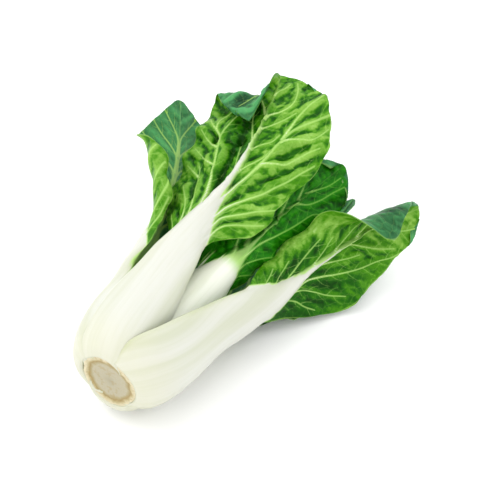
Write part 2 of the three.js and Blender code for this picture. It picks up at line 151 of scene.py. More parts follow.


# ---------------------------------------------------------------- the leaves, drawn flat

# spine: where the middle of the leaf's inner face runs, in mm, from the crown to the tip.
# facing: the way the outer face looks at each spine point, in degrees round the head's axis: 0 is
#   up, 90 is +X and 180 is down.
# breadth, stout: the stalk's width and thickness, as shares of the sizes all leaves share.
# left, right: the blade's half width on either side, as (f, mm).
# curl: (f, left angle at the spine, its turn by the edge, right angle, its turn), in degrees. A
#   positive angle bends a side inward, to the head's axis.
# roll: how late the turn comes, from 1, evenly, to 3, close to the edge.
# ruffle: the waves along the edge: height in mm, number, and their start on the left and right.
# fold_back: where the left side's end starts to fold outward, and the fold's radius in mm.
# tuck: how far the left and the right edge of the stalk's foot lie under (+) or over (-) the
#   neighbours, in mm.
# ribs: the big veins, as (half width at the foot, at the end, route of (f, mm)).
# creases: folds pressed into the blade, as (depth, half width, route); a negative depth stands out.
# tints: places paler (+) or darker (-) than the rest, as (amount, f, mm across, reach in mm); some are the
# leaf's own colour, others painted light or painted shade.
# white_shift: how much further along the leaf the stalk's broad white ends.
# white_end: how far past there the midrib's white starts to fade, and is gone.
# narrow: the share of the midrib's width that turns from white to green.
# spread: how far the white runs out past the stalk's edges, in mm.
# streaks: how far white and green run into each other there, as a share of the length.
# lime: how strongly the ribs and the midrib turn yellow-green.
# pucker, crumple: how far the blade sinks between its veins, and how much it crumples, in mm.
INNER = {
    "roll": 1.0,
    "ruffle": (2, 4, 0.2, 0.5),
    "tuck": (1, 1),
    "white_shift": -0.14,
    "pucker": 0.8,
    "crumple": 0.6,
}
LEAVES = {
    "right_leaf": {
        "spine": [(18.5, 1, 41), (21.5, 5, 41), (26, 15, 41), (32, 38, 41), (37, 70, 40), (44, 100, 36),
                  (51, 130, 32), (57, 160, 34), (68, 188, 40), (82, 216, 46), (101, 244, 50)],
        "facing": [79, 80, 83, 91, 95, 90, 82, 76, 74, 74, 76],
        "breadth": 1.0,
        "stout": 1.0,
        "left": [(0.38, 16), (0.44, 22), (0.52, 28), (0.62, 32), (0.70, 31), (0.78, 35), (0.84, 44),
                 (0.90, 45), (0.95, 34), (0.98, 22), (1, 10)],
        "right": [(0.40, 14), (0.50, 18), (0.57, 29), (0.66, 39), (0.77, 36), (0.86, 31), (0.94, 26),
                  (0.985, 23), (1, 14)],
        "curl": [(0.0, 0, 75, 0, 75), (0.04, 0, 64, 0, 72), (0.10, 0, 50, 0, 64),
                 (0.20, 0, 46, 0, 56), (0.40, 0, 50, 0, 45), (0.50, 8, 100, -8, 0),
                 (0.62, 4, 125, -24, 0), (0.70, -2, 105, -32, 5), (0.76, -10, 0, -31, 8),
                 (0.82, -18, -130, -30, 10), (0.90, -20, -165, -28, 14), (0.95, -20, -150, -26, 20),
                 (1.0, -22, -60, -20, 30)],
        "roll": 1.6,
        "ruffle": (1.5, 4, 0.1, 0.6),
        "tuck": (-8, 1),
        "ribs": [
            (0.62, 0.2, [(0.52, 3), (0.57, 4), (0.61, 5), (0.65, 9), (0.69, 14), (0.73, 18), (0.77, 21),
                         (0.82, 23), (0.87, 26), (0.92, 26)]),
            (0.48, 0.18, [(0.47, 3), (0.52, 4), (0.55, 5), (0.58, 8), (0.61, 15), (0.64, 23), (0.68, 31)]),
            (0.42, 0.18, [(0.43, 3), (0.49, 3), (0.52, 6), (0.55, 12), (0.565, 19), (0.585, 26)]),
            (0.34, 0.18, [(0.74, 1), (0.77, 2), (0.80, 8), (0.83, 14), (0.86, 18), (0.89, 21)]),
            (0.3, 0.21, [(0.66, 1), (0.70, 5), (0.74, 9), (0.78, 12)]),
            (0.3, 0.2, [(0.85, 1), (0.89, 6), (0.93, 11), (0.97, 13)]),
            (0.62, 0.24, [(0.42, -2), (0.53, -5), (0.60, -8), (0.66, -12), (0.70, -15)]),
            (0.45, 0.2, [(0.40, -4), (0.48, -8), (0.54, -12), (0.59, -16)]),
            (0.38, 0.16, [(0.39, -7), (0.45, -12), (0.50, -16), (0.53, -19)]),
            (0.3, 0.16, [(0.62, -1), (0.66, -3), (0.70, -7), (0.73, -11)]),
            (0.35, 0.18, [(0.70, 0), (0.74, -3), (0.78, -7), (0.82, -12)]),
            (0.3, 0.21, [(0.78, 0), (0.83, -4), (0.88, -9), (0.93, -13)]),
        ],
        "creases": [
            (2.5, 6.5, [(0.54, -10), (0.62, -12), (0.70, -15), (0.78, -12), (0.84, -9)]),
        ],
        # Painted light along the rolled-over crest, where light comes through it; painted shade in the recess
        # beside the midrib, low on the blade and under the flap; the tip a little paler.
        "tints_light_and_shade": [
            (0.27, 0.56, -24, 9), (0.29, 0.63, -25, 10), (0.27, 0.70, -24, 10), (0.2, 0.76, -20, 12),
            (0.2, 0.90, 14, 16), (0.2, 0.96, 4, 12), (-0.28, 0.52, -12, 8), (-0.28, 0.60, -12, 9),
            (-0.24, 0.68, -12, 9), (-0.2, 0.48, 12, 16), (-0.24, 0.55, 26, 20), (-0.18, 0.63, 12, 14),
            (-0.14, 0.70, 26, 14), (-0.22, 0.86, -32, 16), (-0.3, 0.90, -26, 6), (-0.25, 0.84, -38, 6),
        ],
        "white_end": (0.28, 0.48),
        "narrow": 0.1,
        "streaks": 0.055,
        "pucker": 0.75,
        "crumple": 0.6,
    },
    "top_leaf": {
        "spine": [(-5, 1, 55.5), (-5.5, 5, 59), (-6, 15, 63.5), (-5, 40, 71), (-7, 69, 73), (-8.5, 95, 76),
                  (-9, 120, 79.5), (-8.5, 146, 84), (-8, 172, 91), (-10, 200, 100), (-16, 232, 109),
                  (-24.5, 260, 113)],
        "facing": [-16, -15, -13, -10, -10, -8, -4, 0, 4, 4, 2, 0],
        "breadth": 0.82,
        "stout": 1.0,
        "left": [(0.38, 14), (0.43, 26), (0.50, 42), (0.62, 51), (0.75, 51), (0.86, 48), (0.94, 42),
                 (0.98, 34), (1, 24)],
        "right": [(0.38, 12), (0.43, 18), (0.48, 30), (0.53, 39), (0.57, 41), (0.61, 39), (0.66, 43),
                  (0.75, 51), (0.84, 49), (0.93, 43.5), (0.98, 37), (1, 28)],
        "curl": [(0.0, 0, 66, 0, 75), (0.04, 0, 64, 0, 74), (0.10, 0, 56, 0, 68),
                 (0.20, 0, 52, 0, 56), (0.38, 0, 52, 0, 50), (0.50, 0, 45, 5, 32),
                 (0.62, 0, 42, 0, 35), (0.75, 0, 36, -6, 30), (0.90, 5, 20, -6, 14), (1.0, 5, 0, 0, 0)],
        "roll": 1.0,
        "ruffle": (2.4, 4.5, 0.3, 0.0),
        "fold_back": (0.86, 5),
        "tuck": (-4, 6),
        "ribs": [
            (2.2, 0.6, [(0.44, 3), (0.50, 3.5), (0.55, 4), (0.61, 7), (0.67, 11), (0.73, 15), (0.78, 19),
                        (0.81, 23), (0.84, 30), (0.87, 38), (0.885, 43)]),
            (0.8, 0.4, [(0.775, 18), (0.82, 20.5), (0.86, 23), (0.90, 28), (0.93, 36)]),
            (0.64, 0.24, [(0.765, 18), (0.78, 22), (0.79, 30), (0.80, 37), (0.82, 42), (0.85, 46)]),
            (0.8, 0.24, [(0.67, 11), (0.69, 13), (0.705, 21), (0.715, 28), (0.74, 33), (0.77, 39),
                        (0.79, 45)]),
            (1.52, 0.32, [(0.43, 7), (0.49, 8), (0.53, 10), (0.575, 17), (0.615, 24), (0.65, 29),
                        (0.68, 35), (0.71, 40), (0.75, 47)]),
            (1.2, 0.32, [(0.41, 9), (0.46, 10.5), (0.495, 12), (0.52, 17), (0.545, 23), (0.57, 29),
                        (0.59, 35), (0.62, 42)]),
            (0.96, 0.28, [(0.39, 11), (0.43, 13), (0.46, 14.5), (0.48, 17), (0.50, 22), (0.525, 30),
                         (0.55, 38)]),
            (0.72, 0.24, [(0.38, 14), (0.41, 16), (0.435, 20), (0.455, 26)]),
            (0.64, 0.24, [(0.61, 1), (0.64, 1.5), (0.665, 4), (0.69, 8.5), (0.71, 12), (0.735, 14)]),
            (0.56, 0.24, [(0.69, 0), (0.71, 0.5), (0.73, 3), (0.745, 7), (0.76, 12), (0.785, 15)]),
            (0.56, 0.24, [(0.77, 0), (0.79, 1), (0.805, 5.5), (0.82, 10), (0.84, 15), (0.865, 20)]),
            (0.56, 0.24, [(0.82, 0), (0.84, 2), (0.855, 8), (0.875, 13), (0.90, 16), (0.94, 16),
                          (0.975, 14)]),
            (0.4, 0.2, [(0.91, 0), (0.93, 2), (0.945, 6), (0.965, 9)]),
            (1.44, 0.4, [(0.44, -5), (0.50, -7), (0.54, -9), (0.595, -14), (0.66, -20), (0.715, -25),
                        (0.74, -26.5), (0.78, -24.5), (0.82, -21.5), (0.855, -16), (0.90, -12)]),
            (0.72, 0.32, [(0.72, -25.5), (0.745, -28), (0.765, -32), (0.80, -33), (0.83, -28), (0.87, -25)]),
            (1.12, 0.28, [(0.41, -8), (0.45, -9.5), (0.475, -11), (0.52, -16), (0.58, -24), (0.63, -32)]),
            (0.88, 0.24, [(0.40, -11), (0.44, -13), (0.467, -15), (0.50, -19.5), (0.53, -26), (0.56, -33)]),
            (0.64, 0.24, [(0.38, -13), (0.41, -16), (0.44, -21), (0.47, -28)]),
            (0.56, 0.24, [(0.62, -1), (0.66, -4), (0.70, -7), (0.74, -9)]),
            (0.56, 0.24, [(0.74, -1), (0.78, -5), (0.82, -9), (0.86, -12)]),
            (0.48, 0.24, [(0.84, -1), (0.88, -6), (0.92, -13), (0.95, -20)]),
            (0.48, 0.24, [(0.76, -31), (0.78, -37), (0.81, -43)]),
            (0.48, 0.24, [(0.70, -24), (0.71, -31), (0.73, -38), (0.76, -45)]),
            (0.48, 0.24, [(0.64, -19), (0.65, -27), (0.67, -36), (0.69, -44)]),
            (0.48, 0.24, [(0.595, -26), (0.61, -34), (0.63, -43)]),
        ],
        "creases": [
            (3.5, 3.0, [(0.55, -5), (0.60, -8), (0.66, -11), (0.70, -13)]),
            (3.0, 5.0, [(0.66, -6), (0.72, -9), (0.80, -11), (0.88, -10)]),
            (5.0, 3.6, [(0.729, -31), (0.733, -31)]),
            (5.0, 3.8, [(0.742, -11), (0.746, -11)]),
            (2.0, 3.0, [(0.53, -20), (0.60, -28), (0.68, -33)]),
            (-2.0, 3.0, [(0.62, -14), (0.67, -15), (0.71, -18)]),
            (2.5, 3.0, [(0.62, 14), (0.66, 21), (0.70, 30)]),
            (-1.8, 3.0, [(0.60, 11), (0.64, 16), (0.68, 22)]),
            (2.5, 3.0, [(0.73, 22), (0.75, 30), (0.78, 36)]),
            (-2.0, 3.5, [(0.745, 19), (0.77, 26), (0.79, 33)]),
            (-2.8, 9.0, [(0.93, 41), (0.97, 38), (0.99, 32)]),
        ],
        # Partly the blade's own paler and darker places; painted shade in the valley left of the midrib and
        # on the folded tip, and a painted highlight on the fold's crest.
        "tints_light_and_shade": [
            (0.18, 0.66, 14, 22), (0.16, 0.80, 30, 28), (0.22, 0.53, 28, 16), (0.12, 0.92, 12, 20),
            (-0.34, 0.62, -8, 9), (-0.36, 0.72, -9, 10), (-0.2, 0.82, -10, 14), (0.14, 0.66, -28, 14),
            (0.14, 0.78, -34, 12), (-0.24, 0.60, 6, 8), (-0.22, 0.66, 24, 7),
            (-0.3, 0.93, -43, 8), (0.3, 0.93, -31, 7), (-0.4, 0.93, -20, 8), (-0.2, 0.78, -16, 12),
            (-0.2, 0.86, -10, 12), (0.1, 0.56, -26, 14), (-0.2, 0.70, 3, 7), (-0.16, 0.78, 5, 8),
        ],
        "white_end": (0.24, 0.5),
        "streaks": 0.045,
        "pucker": 1.35,
        "crumple": 1.25,
    },
    "left_leaf": {
        "spine": [(-18.8, 1, 38), (-22, 5, 38), (-26, 15, 38), (-31, 38, 41), (-33, 66, 46), (-39, 95, 52),
                  (-45, 120, 58), (-51, 146, 64), (-61, 172, 72), (-74, 196, 82), (-86, 216, 95)],
        "facing": [-97, -98, -98, -97, -95, -94, -96, -102, -108, -114, -118],
        "breadth": 0.95,
        "stout": 0.95,
        "left": [(0.38, 15), (0.46, 24), (0.55, 30), (0.66, 34), (0.78, 36), (0.88, 33), (0.95, 26),
                 (0.985, 18), (1, 9)],
        "right": [(0.40, 15), (0.48, 20), (0.56, 30), (0.66, 44), (0.75, 46), (0.80, 40), (0.86, 32),
                  (0.92, 26), (0.97, 18), (1, 8)],
        "curl": [(0.0, 0, 75, 0, 75), (0.04, 0, 72, 0, 74), (0.10, 0, 62, 0, 66),
                 (0.20, 0, 56, 0, 56), (0.38, 0, 55, 0, 55), (0.48, 10, 40, 0, 110),
                 (0.58, 10, 40, -16, 190), (0.68, 10, 30, -34, 215), (0.76, 5, 20, -40, 160),
                 (0.83, 5, 10, -36, 30), (0.92, 5, 10, -22, 0), (1.0, 0, 0, -10, 0)],
        "roll": 2.2,
        "ruffle": (2, 4, 0.2, 0.5),
        "tuck": (1, 4),
        "tints_light_and_shade": [
            (0.16, 0.56, 25, 20), (0.18, 0.68, 35, 18), (0.12, 0.78, 30, 16), (0.14, 0.84, -8, 26),
        ],
        "pucker": 0.8,
        "crumple": 0.6,
    },
    "under_leaf": {
        "spine": [(-1, 1, 19.2), (-2, 5, 16.2), (-4, 15, 12), (-5, 38, 9), (-2, 70, 8.4), (5, 105, 7.8),
                  (14, 138, 6), (25, 172, 4), (36, 205, 5), (46, 238, 12)],
        "facing": [186, 186, 186, 185, 184, 182, 180, 180, 180, 180],
        "breadth": 0.95,
        "stout": 0.9,
        "left": [(0.38, 11), (0.46, 18), (0.52, 32), (0.59, 42), (0.78, 44), (0.88, 38), (0.95, 27),
                 (0.985, 16), (1, 4)],
        "right": [(0.38, 15), (0.46, 28), (0.52, 36), (0.61, 42), (0.78, 46), (0.88, 40), (0.95, 28),
                  (0.985, 16), (1, 4)],
        "curl": [(0.0, 0, 75, 0, 75), (0.04, 0, 72, 0, 72), (0.10, 0, 64, 0, 64),
                 (0.20, 0, 56, 0, 56), (0.38, 0, 45, 0, 45), (0.50, 0, 10, 0, 20),
                 (0.75, 0, 20, 0, 30), (0.90, 0, 20, 0, 20), (1.0, 0, 10, 0, 10)],
        "roll": 1.4,
        "ruffle": (3, 4, 0.2, 0.5),
        "tuck": (2, 2),
        # Painted shadow, where the right leaf shades this leaf's corner.
        "tints_light_and_shade": [(-0.7, 0.52, -30, 24)],
        "pucker": 0.8,
        "crumple": 0.6,
    },
    "middle_leaf": {
        "spine": [(8, 10, 45), (13, 20, 51), (16, 40, 54), (15, 62, 53), (16, 88, 53), (18, 114, 55),
                  (21, 140, 57), (25, 174, 59), (31, 209, 61), (39.5, 243, 65.5)],
        "facing": [45, 45, 45, 44, 42, 38, 34, 30, 28, 26],
        "breadth": 0.78,
        "stout": 0.85,
        "left": [(0.38, 12), (0.46, 26), (0.55, 36), (0.66, 42), (0.78, 44), (0.88, 36), (0.95, 26),
                 (0.985, 14), (1, 4)],
        "right": [(0.38, 12), (0.46, 18), (0.55, 19), (0.66, 20), (0.78, 29), (0.88, 31), (0.95, 25),
                  (0.985, 17), (1, 8)],
        "curl": [(0.0, 0, 45, 0, 45), (0.14, 0, 60, 0, 60), (0.40, 0, 50, 0, 45), (0.55, -5, 20, 5, 40),
                 (0.75, -10, 10, 5, 45), (0.90, -8, 10, 0, 30), (1.0, 0, 10, 0, 10)],
        "roll": 1.0,
        "ruffle": (2.5, 4, 0.2, 0.5),
        "tuck": (0, 0),
        "ribs": [
            (1.05, 0.28, [(0.46, 2), (0.50, 2), (0.53, 2.5), (0.585, 4), (0.65, 8), (0.71, 11), (0.755, 12.5),
                        (0.805, 14), (0.83, 18), (0.87, 24)]),
            (0.77, 0.24, [(0.42, 4), (0.46, 5), (0.50, 7), (0.545, 11), (0.595, 17), (0.64, 25)]),
            (0.63, 0.21, [(0.40, 7), (0.44, 8), (0.48, 13), (0.52, 20)]),
            (0.63, 0.21, [(0.74, -1), (0.78, 1), (0.81, 6), (0.86, 9.5), (0.91, 11), (0.95, 13)]),
            (0.49, 0.21, [(0.83, -1), (0.87, 2), (0.91, 5), (0.96, 6)]),
            (0.84, 0.24, [(0.45, -3), (0.50, -5), (0.56, -12), (0.62, -22), (0.70, -34)]),
            (0.77, 0.24, [(0.53, -2), (0.58, -5), (0.65, -13), (0.72, -24), (0.79, -38)]),
            (0.63, 0.21, [(0.62, -1), (0.68, -6), (0.75, -16), (0.82, -28)]),
            (0.56, 0.21, [(0.70, -1), (0.76, -6), (0.82, -14), (0.88, -24)]),
            (0.49, 0.21, [(0.79, -1), (0.84, -6), (0.89, -12), (0.94, -18)]),
        ],
        "white_end": (0.02, 0.14),
        "white_shift": 0.05,
        "lime": 0.5,
        "streaks": 0.05,
        "narrow": 0.75,
        "spread": 0.0,
        "pucker": 1.1,
        "crumple": 0.8,
    },
    "inner_left_leaf": {
        "spine": [(-10, 10, 44), (-17, 20, 49), (-20, 40, 51), (-20, 64, 51), (-22, 90, 52),
                  (-28, 116, 54), (-35, 142, 57), (-40, 166, 61)],
        "facing": [-58, -58, -58, -58, -60, -64, -68, -72],
        "breadth": 0.66,
        "stout": 0.7,
        "left": [(0.44, 9), (0.55, 20), (0.66, 26), (0.78, 28), (0.88, 24), (0.95, 17), (0.985, 10), (1, 3)],
        "right": [(0.44, 9), (0.55, 15), (0.66, 18), (0.78, 18), (0.88, 15), (0.95, 11), (0.985, 7), (1, 3)],
        "curl": [(0.0, 0, 45, 0, 45), (0.14, 0, 60, 0, 60), (0.45, 0, 50, 0, 50), (0.60, 0, 50, 0, 70),
                 (0.85, 0, 40, 0, 60), (1.0, 0, 20, 0, 20)],
        **INNER,
    },
    "inner_right_leaf": {
        "spine": [(9, 10, 36), (16, 20, 31), (20, 40, 28), (22, 66, 27), (26, 94, 26), (32, 122, 26),
                  (38, 150, 28), (44, 176, 32), (50, 202, 39), (56, 229, 50)],
        "facing": [130, 130, 130, 128, 126, 126, 130, 136, 142, 148],
        "breadth": 0.66,
        "stout": 0.75,
        "left": [(0.42, 8), (0.52, 11), (0.64, 12), (0.78, 14), (0.88, 19), (0.95, 18), (0.985, 13), (1, 6)],
        "right": [(0.42, 9), (0.52, 12), (0.64, 13), (0.78, 15), (0.88, 18), (0.95, 17), (0.985, 12), (1, 5)],
        "curl": [(0.0, 0, 45, 0, 45), (0.14, 0, 60, 0, 60), (0.42, 0, 50, 0, 50), (0.60, 10, 50, 10, 60),
                 (0.85, 5, 40, 5, 40), (1.0, 0, 20, 0, 20)],
        **INNER,
    },
    "inner_under_leaf": {
        "spine": [(-9, 10, 34), (-15, 20, 28), (-19, 40, 25.5), (-20, 66, 26), (-24, 94, 28),
                  (-30, 122, 31), (-38, 148, 35), (-46, 172, 40)],
        "facing": [-132, -132, -132, -130, -126, -122, -118, -116],
        "breadth": 0.66,
        "stout": 0.7,
        "left": [(0.44, 9), (0.55, 17), (0.66, 22), (0.78, 24), (0.88, 20), (0.95, 15), (0.985, 9), (1, 3)],
        "right": [(0.44, 9), (0.55, 16), (0.66, 20), (0.78, 22), (0.88, 19), (0.95, 14), (0.985, 8), (1, 3)],
        "curl": [(0.0, 0, 45, 0, 45), (0.14, 0, 60, 0, 60), (0.45, 0, 50, 0, 50), (0.60, 0, 50, 0, 60),
                 (0.85, 0, 40, 0, 40), (1.0, 0, 20, 0, 20)],
        **INNER,
    },
    "heart_leaf": {
        "spine": [(-2, 20, 40), (-3, 34, 40), (-3, 54, 40), (-2, 78, 40), (0, 102, 41), (4, 126, 43),
                  (9, 148, 46)],
        "facing": [0, 0, 0, 4, 8, 10, 12],
        "breadth": 0.36,
        "stout": 0.6,
        "left": [(0.48, 5), (0.58, 11), (0.70, 14), (0.82, 13), (0.92, 10), (0.98, 6), (1, 3)],
        "right": [(0.48, 5), (0.58, 11), (0.70, 14), (0.82, 13), (0.92, 10), (0.98, 6), (1, 3)],
        "curl": [(0.0, 0, 60, 0, 60), (0.45, 0, 60, 0, 60), (0.70, 0, 70, 0, 70), (1.0, 0, 50, 0, 50)],
        "roll": 1.0,
        "ruffle": (1.5, 4, 0.2, 0.5),
        "tuck": (0, 0),
        "pucker": 0.6,
        "crumple": 0.5,
    },
}

# Stalk and midrib, as shares of the widest and thickest: (f, half width, thickness). The bends are
# worked out on the first table, which is the solids' own; the second one is the slimmer midrib.
FOOT_PROFILE = [
    (0.0, 0.66, 0.22), (0.02, 0.80, 0.58), (0.045, 0.93, 0.82), (0.10, 1.0, 1.0), (0.17, 0.98, 0.97),
    (0.26, 0.80, 0.88),
]
STALK_PROFILE = FOOT_PROFILE + [
    (0.40, 0.57, 0.76), (0.50, 0.44, 0.6), (0.60, 0.235, 0.44), (0.72, 0.115, 0.28), (0.86, 0.06, 0.15),
    (0.95, 0.037, 0.08),
]
MIDRIB_PROFILE = FOOT_PROFILE + [
    (0.38, 0.60, 0.76), (0.46, 0.43, 0.6), (0.53, 0.235, 0.44), (0.60, 0.115, 0.32), (0.72, 0.067, 0.22),
    (0.86, 0.04, 0.13), (0.95, 0.025, 0.06),
]
SEAT = 1.2  # mm, of a stalk's inner side over the middle of its blade
STALK_EDGE = 1.0  # mm, thickness of a stalk along its two edges
FLOOR_CLEARANCE = 0.5  # mm, of a face that lies on the surface
FLOOR_EASING = 2.5  # mm over the clearance, from which a blade bends to lie flat
FOLD_ANGLE = 182.0  # degrees, of a tip that is folded back
BEND_STEPS = 12  # steps of the sum that bends a side
SQUARE_FOOT = 0.08  # from the crown to here, a leaf turns from square to the head's axis to its spine
ROUNDING = 0.045  # share of its length by which a leaf's sides stop short of its tip
LOWEST = 0.05  # mm, of any point over the surface
FAR_OFF = 50.0  # mm, the distance of a point whose nearest vein isn't looked up
PATTERN_GAP = 40.0  # mm, between the patterns of an outer and an inner face
# The blade's crumples, as (height, length and width of a bump in mm), for a crumple of 1 mm.
CRUMPLES = ((1.0, 17, 6.5), (0.6, 8, 3.4), (0.3, 4, 2.1))

# Rows of points along the stalk and along the blade, and columns of them.
DETAIL = {"fine": (70, 220, 150), "coarse": (50, 130, 96), "small": (40, 90, 64)}


# ---------------------------------------------------------------- curves and noise


def read_table(rows, x, column):
    """A smooth curve through a table's rows, read at x: column 0 is x and the rest are values."""
    rows = np.asarray(rows, float)
    knots, values = rows[:, 0], rows[:, column]
    slopes = np.gradient(values)
    slopes[1:-1] = (values[2:] - values[:-2]) / (knots[2:] - knots[:-2])
    slopes[0] = (values[1] - values[0]) / (knots[1] - knots[0])
    slopes[-1] = (values[-1] - values[-2]) / (knots[-1] - knots[-2])
    i = np.searchsorted(knots[1:-1], x, side="left")
    width = knots[i + 1] - knots[i]
    t = np.clip((x - knots[i]) / width, 0, 1)
    t2, t3 = t * t, t * t * t
    start = (2 * t3 - 3 * t2 + 1) * values[i] + (t3 - 2 * t2 + t) * width * slopes[i]
    end = (3 * t2 - 2 * t3) * values[i + 1] + (t3 - t2) * width * slopes[i + 1]
    return start + end


def smoothstep(low, high, x):
    t = np.clip((np.asarray(x, float) - low) / (high - low), 0, 1)
    return t * t * (3 - 2 * t)


def noise(x, y, seed):
    """Smooth noise from -1 to 1, with one bump for each unit of x and y."""
    x0, y0 = np.floor(x).astype(np.int64), np.floor(y).astype(np.int64)

    def corner(dx, dy):
        h = ((x0 + dx) * 374761393 + (y0 + dy) * 668265263 + seed * 974634777) & 0xFFFFFFFF
        h = ((h ^ (h >> 13)) * 1274126177) & 0xFFFFFFFF
        return ((h ^ (h >> 16)) & 0xFFFF) / 32767.5 - 1

    u, v = x - x0, y - y0
    u, v = u * u * (3 - 2 * u), v * v * (3 - 2 * v)
    low = corner(0, 0) * (1 - u) + corner(1, 0) * u
    high = corner(0, 1) * (1 - u) + corner(1, 1) * u
    return low * (1 - v) + high * v


class Route:
    """A centripetal Catmull-Rom curve through points, in any number of dimensions."""

    def __init__(self, points):
        p = np.asarray(points, float)
        p = np.vstack([2 * p[0] - p[1], p, 2 * p[-1] - p[-2]])
        self.spans = len(points) - 1
        cubics = []
        for x0, x1, x2, x3 in zip(p, p[1:], p[2:], p[3:]):
            d0, d1, d2 = (max(np.linalg.norm(b - a), 1e-6) ** 0.5 for a, b in ((x0, x1), (x1, x2), (x2, x3)))
            start = ((x1 - x0) / d0 - (x2 - x0) / (d0 + d1) + (x2 - x1) / d1) * d1
            end = ((x2 - x1) / d1 - (x3 - x1) / (d1 + d2) + (x3 - x2) / d2) * d1
            cubics.append([x1, start, 3 * (x2 - x1) - 2 * start - end, 2 * (x1 - x2) + start + end])
        self.cubics = np.array(cubics)
        self.steps = np.linspace(0, 1, 401)
        gaps = np.linalg.norm(np.diff(self.at(self.steps), axis=0), axis=1)
        self.reach = np.concatenate([[0], np.cumsum(gaps)])
        self.length = self.reach[-1]

    def at(self, t):
        place = np.clip(t, 0, 1) * self.spans
        i = np.minimum(place.astype(int), self.spans - 1)
        w = (place - i)[..., None]
        c = self.cubics[i]
        return c[..., 0, :] + w * (c[..., 1, :] + w * (c[..., 2, :] + w * c[..., 3, :]))

    def step_at(self, share):
        """The curve's parameter at a share of its length."""
        return np.interp(np.clip(share, 0, 1) * self.length, self.reach, self.steps)


def blurred(values, reach):
    """A grid's values averaged over reach points to either side, twice along each axis."""
    weights = np.full(2 * reach + 1, 1 / (2 * reach + 1))
    for axis in (0, 1, 0, 1):
        wide = [(reach, reach) if i == axis else (0, 0) for i in (0, 1)]
        padded = np.pad(values, wide, mode="edge")
        values = np.apply_along_axis(np.convolve, axis, padded, weights, mode="valid")
    return values


def unit(v):
    return v / np.maximum(np.linalg.norm(v, axis=-1, keepdims=True), 1e-12)


# ---------------------------------------------------------------- bending a flat leaf


class Leaf:
    """One leaf's drawing, and what is worked out from it."""

    def __init__(self, name, sizes):
        self.name = name
        self.drawing = LEAVES[name]
        self.sizes = sizes
        self.route = Route(self.drawing["spine"])
        self.length = self.route.length
        self.start = min(self.drawing["left"][0][0], self.drawing["right"][0][0])
        self.seed = sum(ord(c) * (i + 1) for i, c in enumerate(name)) % 997
        self.widest = sizes.stalk_half_width / MM * self.drawing["breadth"]
        self.thickest = sizes.stalk_thickness / MM * self.drawing["stout"]

    def stalk_half(self, f):
        return self.widest * read_table(STALK_PROFILE, f, 1)

    def midrib_half(self, f):
        return self.widest * read_table(MIDRIB_PROFILE, f, 1)

    def stalk_thickness(self, f):
        return self.thickest * read_table(MIDRIB_PROFILE, f, 2)

    def blade_half(self, f, right):
        left_half = read_table(self.drawing["left"], f, 1)
        right_half = read_table(self.drawing["right"], f, 1)
        return np.maximum(2, np.where(right, right_half, left_half))

    def turning_width(self, f, right):
        opening = smoothstep(self.start - 0.06, self.start + 0.1, f)
        stalk = self.stalk_half(f)
        return (1 - opening) * stalk + opening * np.maximum(stalk, self.blade_half(f, right))

    def outline(self, f, right):
        """Half width of stalk and blade together."""
        stalk = np.maximum(1.2, self.stalk_half(f))
        blade = self.blade_half(f, right) * smoothstep(self.start - 0.012, self.start + 0.01, f)
        return 0.5 * (stalk + blade + np.sqrt((stalk - blade) ** 2 + 2.0))

    def bend(self, f, across):
        """Points of the middle surface, in mm in the drawings' frame."""
        drawing = self.drawing
        right = across >= 0
        side = np.where(right, 1.0, -1.0)
        far = np.abs(across)
        back = np.zeros_like(f)
        if "fold_back" in drawing:
            fold_from, fold_radius = drawing["fold_back"]
            back = np.maximum(0, f - fold_from) * smoothstep(0, 8, -across)
        t = self.route.step_at(f - back)
        at = self.route.at(t)
        along = unit(self.route.at(t + 1e-4) - self.route.at(t - 1e-4))
        square = 1 - smoothstep(0, SQUARE_FOOT, f)[..., None]
        along = unit(along * (1 - square) + np.array([0.0, 1.0, 0.0]) * square)
        facing = drawing["facing"]
        turns = [(i / (len(facing) - 1), angle) for i, angle in enumerate(facing)]
        angle = np.radians(read_table(turns, t, 1))
        out = np.stack([np.sin(angle), np.zeros_like(angle), np.cos(angle)], -1)
        out = unit(out - along * (out * along).sum(-1, keepdims=True))
        sideways = np.cross(along, out)
        half = self.turning_width(f, right)
        curl = [read_table(drawing["curl"], f, column) for column in (1, 2, 3, 4)]
        first = np.radians(np.where(right, curl[2], curl[0]))
        turn = np.radians(np.where(right, curl[3], curl[1]))
        roll = 1 + (drawing["roll"] - 1) * smoothstep(self.start - 0.1, self.start + 0.1, f)
        run = np.zeros_like(f)
        rise = np.zeros_like(f)
        for i in range(BEND_STEPS):
            lean = first + turn * (far * (i + 0.5) / BEND_STEPS / half) ** roll
            run += np.cos(lean) * far / BEND_STEPS
            rise += np.sin(lean) * far / BEND_STEPS
        lean = first + turn * (far / half) ** roll
        height, waves, left_phase, right_phase = drawing["ruffle"]
        phase = np.where(right, right_phase, left_phase)
        edge = (far / half) ** 2.5 * smoothstep(self.start, self.start + 0.25, f)
        wave = height * edge * np.sin(2 * np.pi * (waves * f * 2 + phase))
        tuck_left, tuck_right = drawing["tuck"]
        foot = (1 - smoothstep(0, 0.36, f)) * (0.4 + 0.6 * smoothstep(0, 0.04, f)) * (far / half) ** 2.5
        wave -= foot * np.where(right, tuck_right, tuck_left)
        points = at + sideways * (side * (run + np.sin(lean) * wave))[..., None]
        points += out * (np.cos(lean) * wave - rise)[..., None]
        if "fold_back" in drawing:
            bent = back * self.length / fold_radius
            turned = np.minimum(bent, math.radians(FOLD_ANGLE))
            rest = (bent - turned) * fold_radius
            points += along * (fold_radius * np.sin(turned) + rest * np.cos(turned))[..., None]
            points += out * (fold_radius * (1 - np.cos(turned)) + rest * np.sin(turned))[..., None]
        return points


def ease_to_floor(points):
    """Bends what would reach through the surface, so that it lies on it."""
    height = (points[..., 2] - FLOOR_CLEARANCE) / FLOOR_EASING
    eased = FLOOR_CLEARANCE + FLOOR_EASING * np.exp(np.minimum(height, 1) - 1)
    points[..., 2] = np.where(height < 1, eased, points[..., 2])
    return points


# ---------------------------------------------------------------- veins


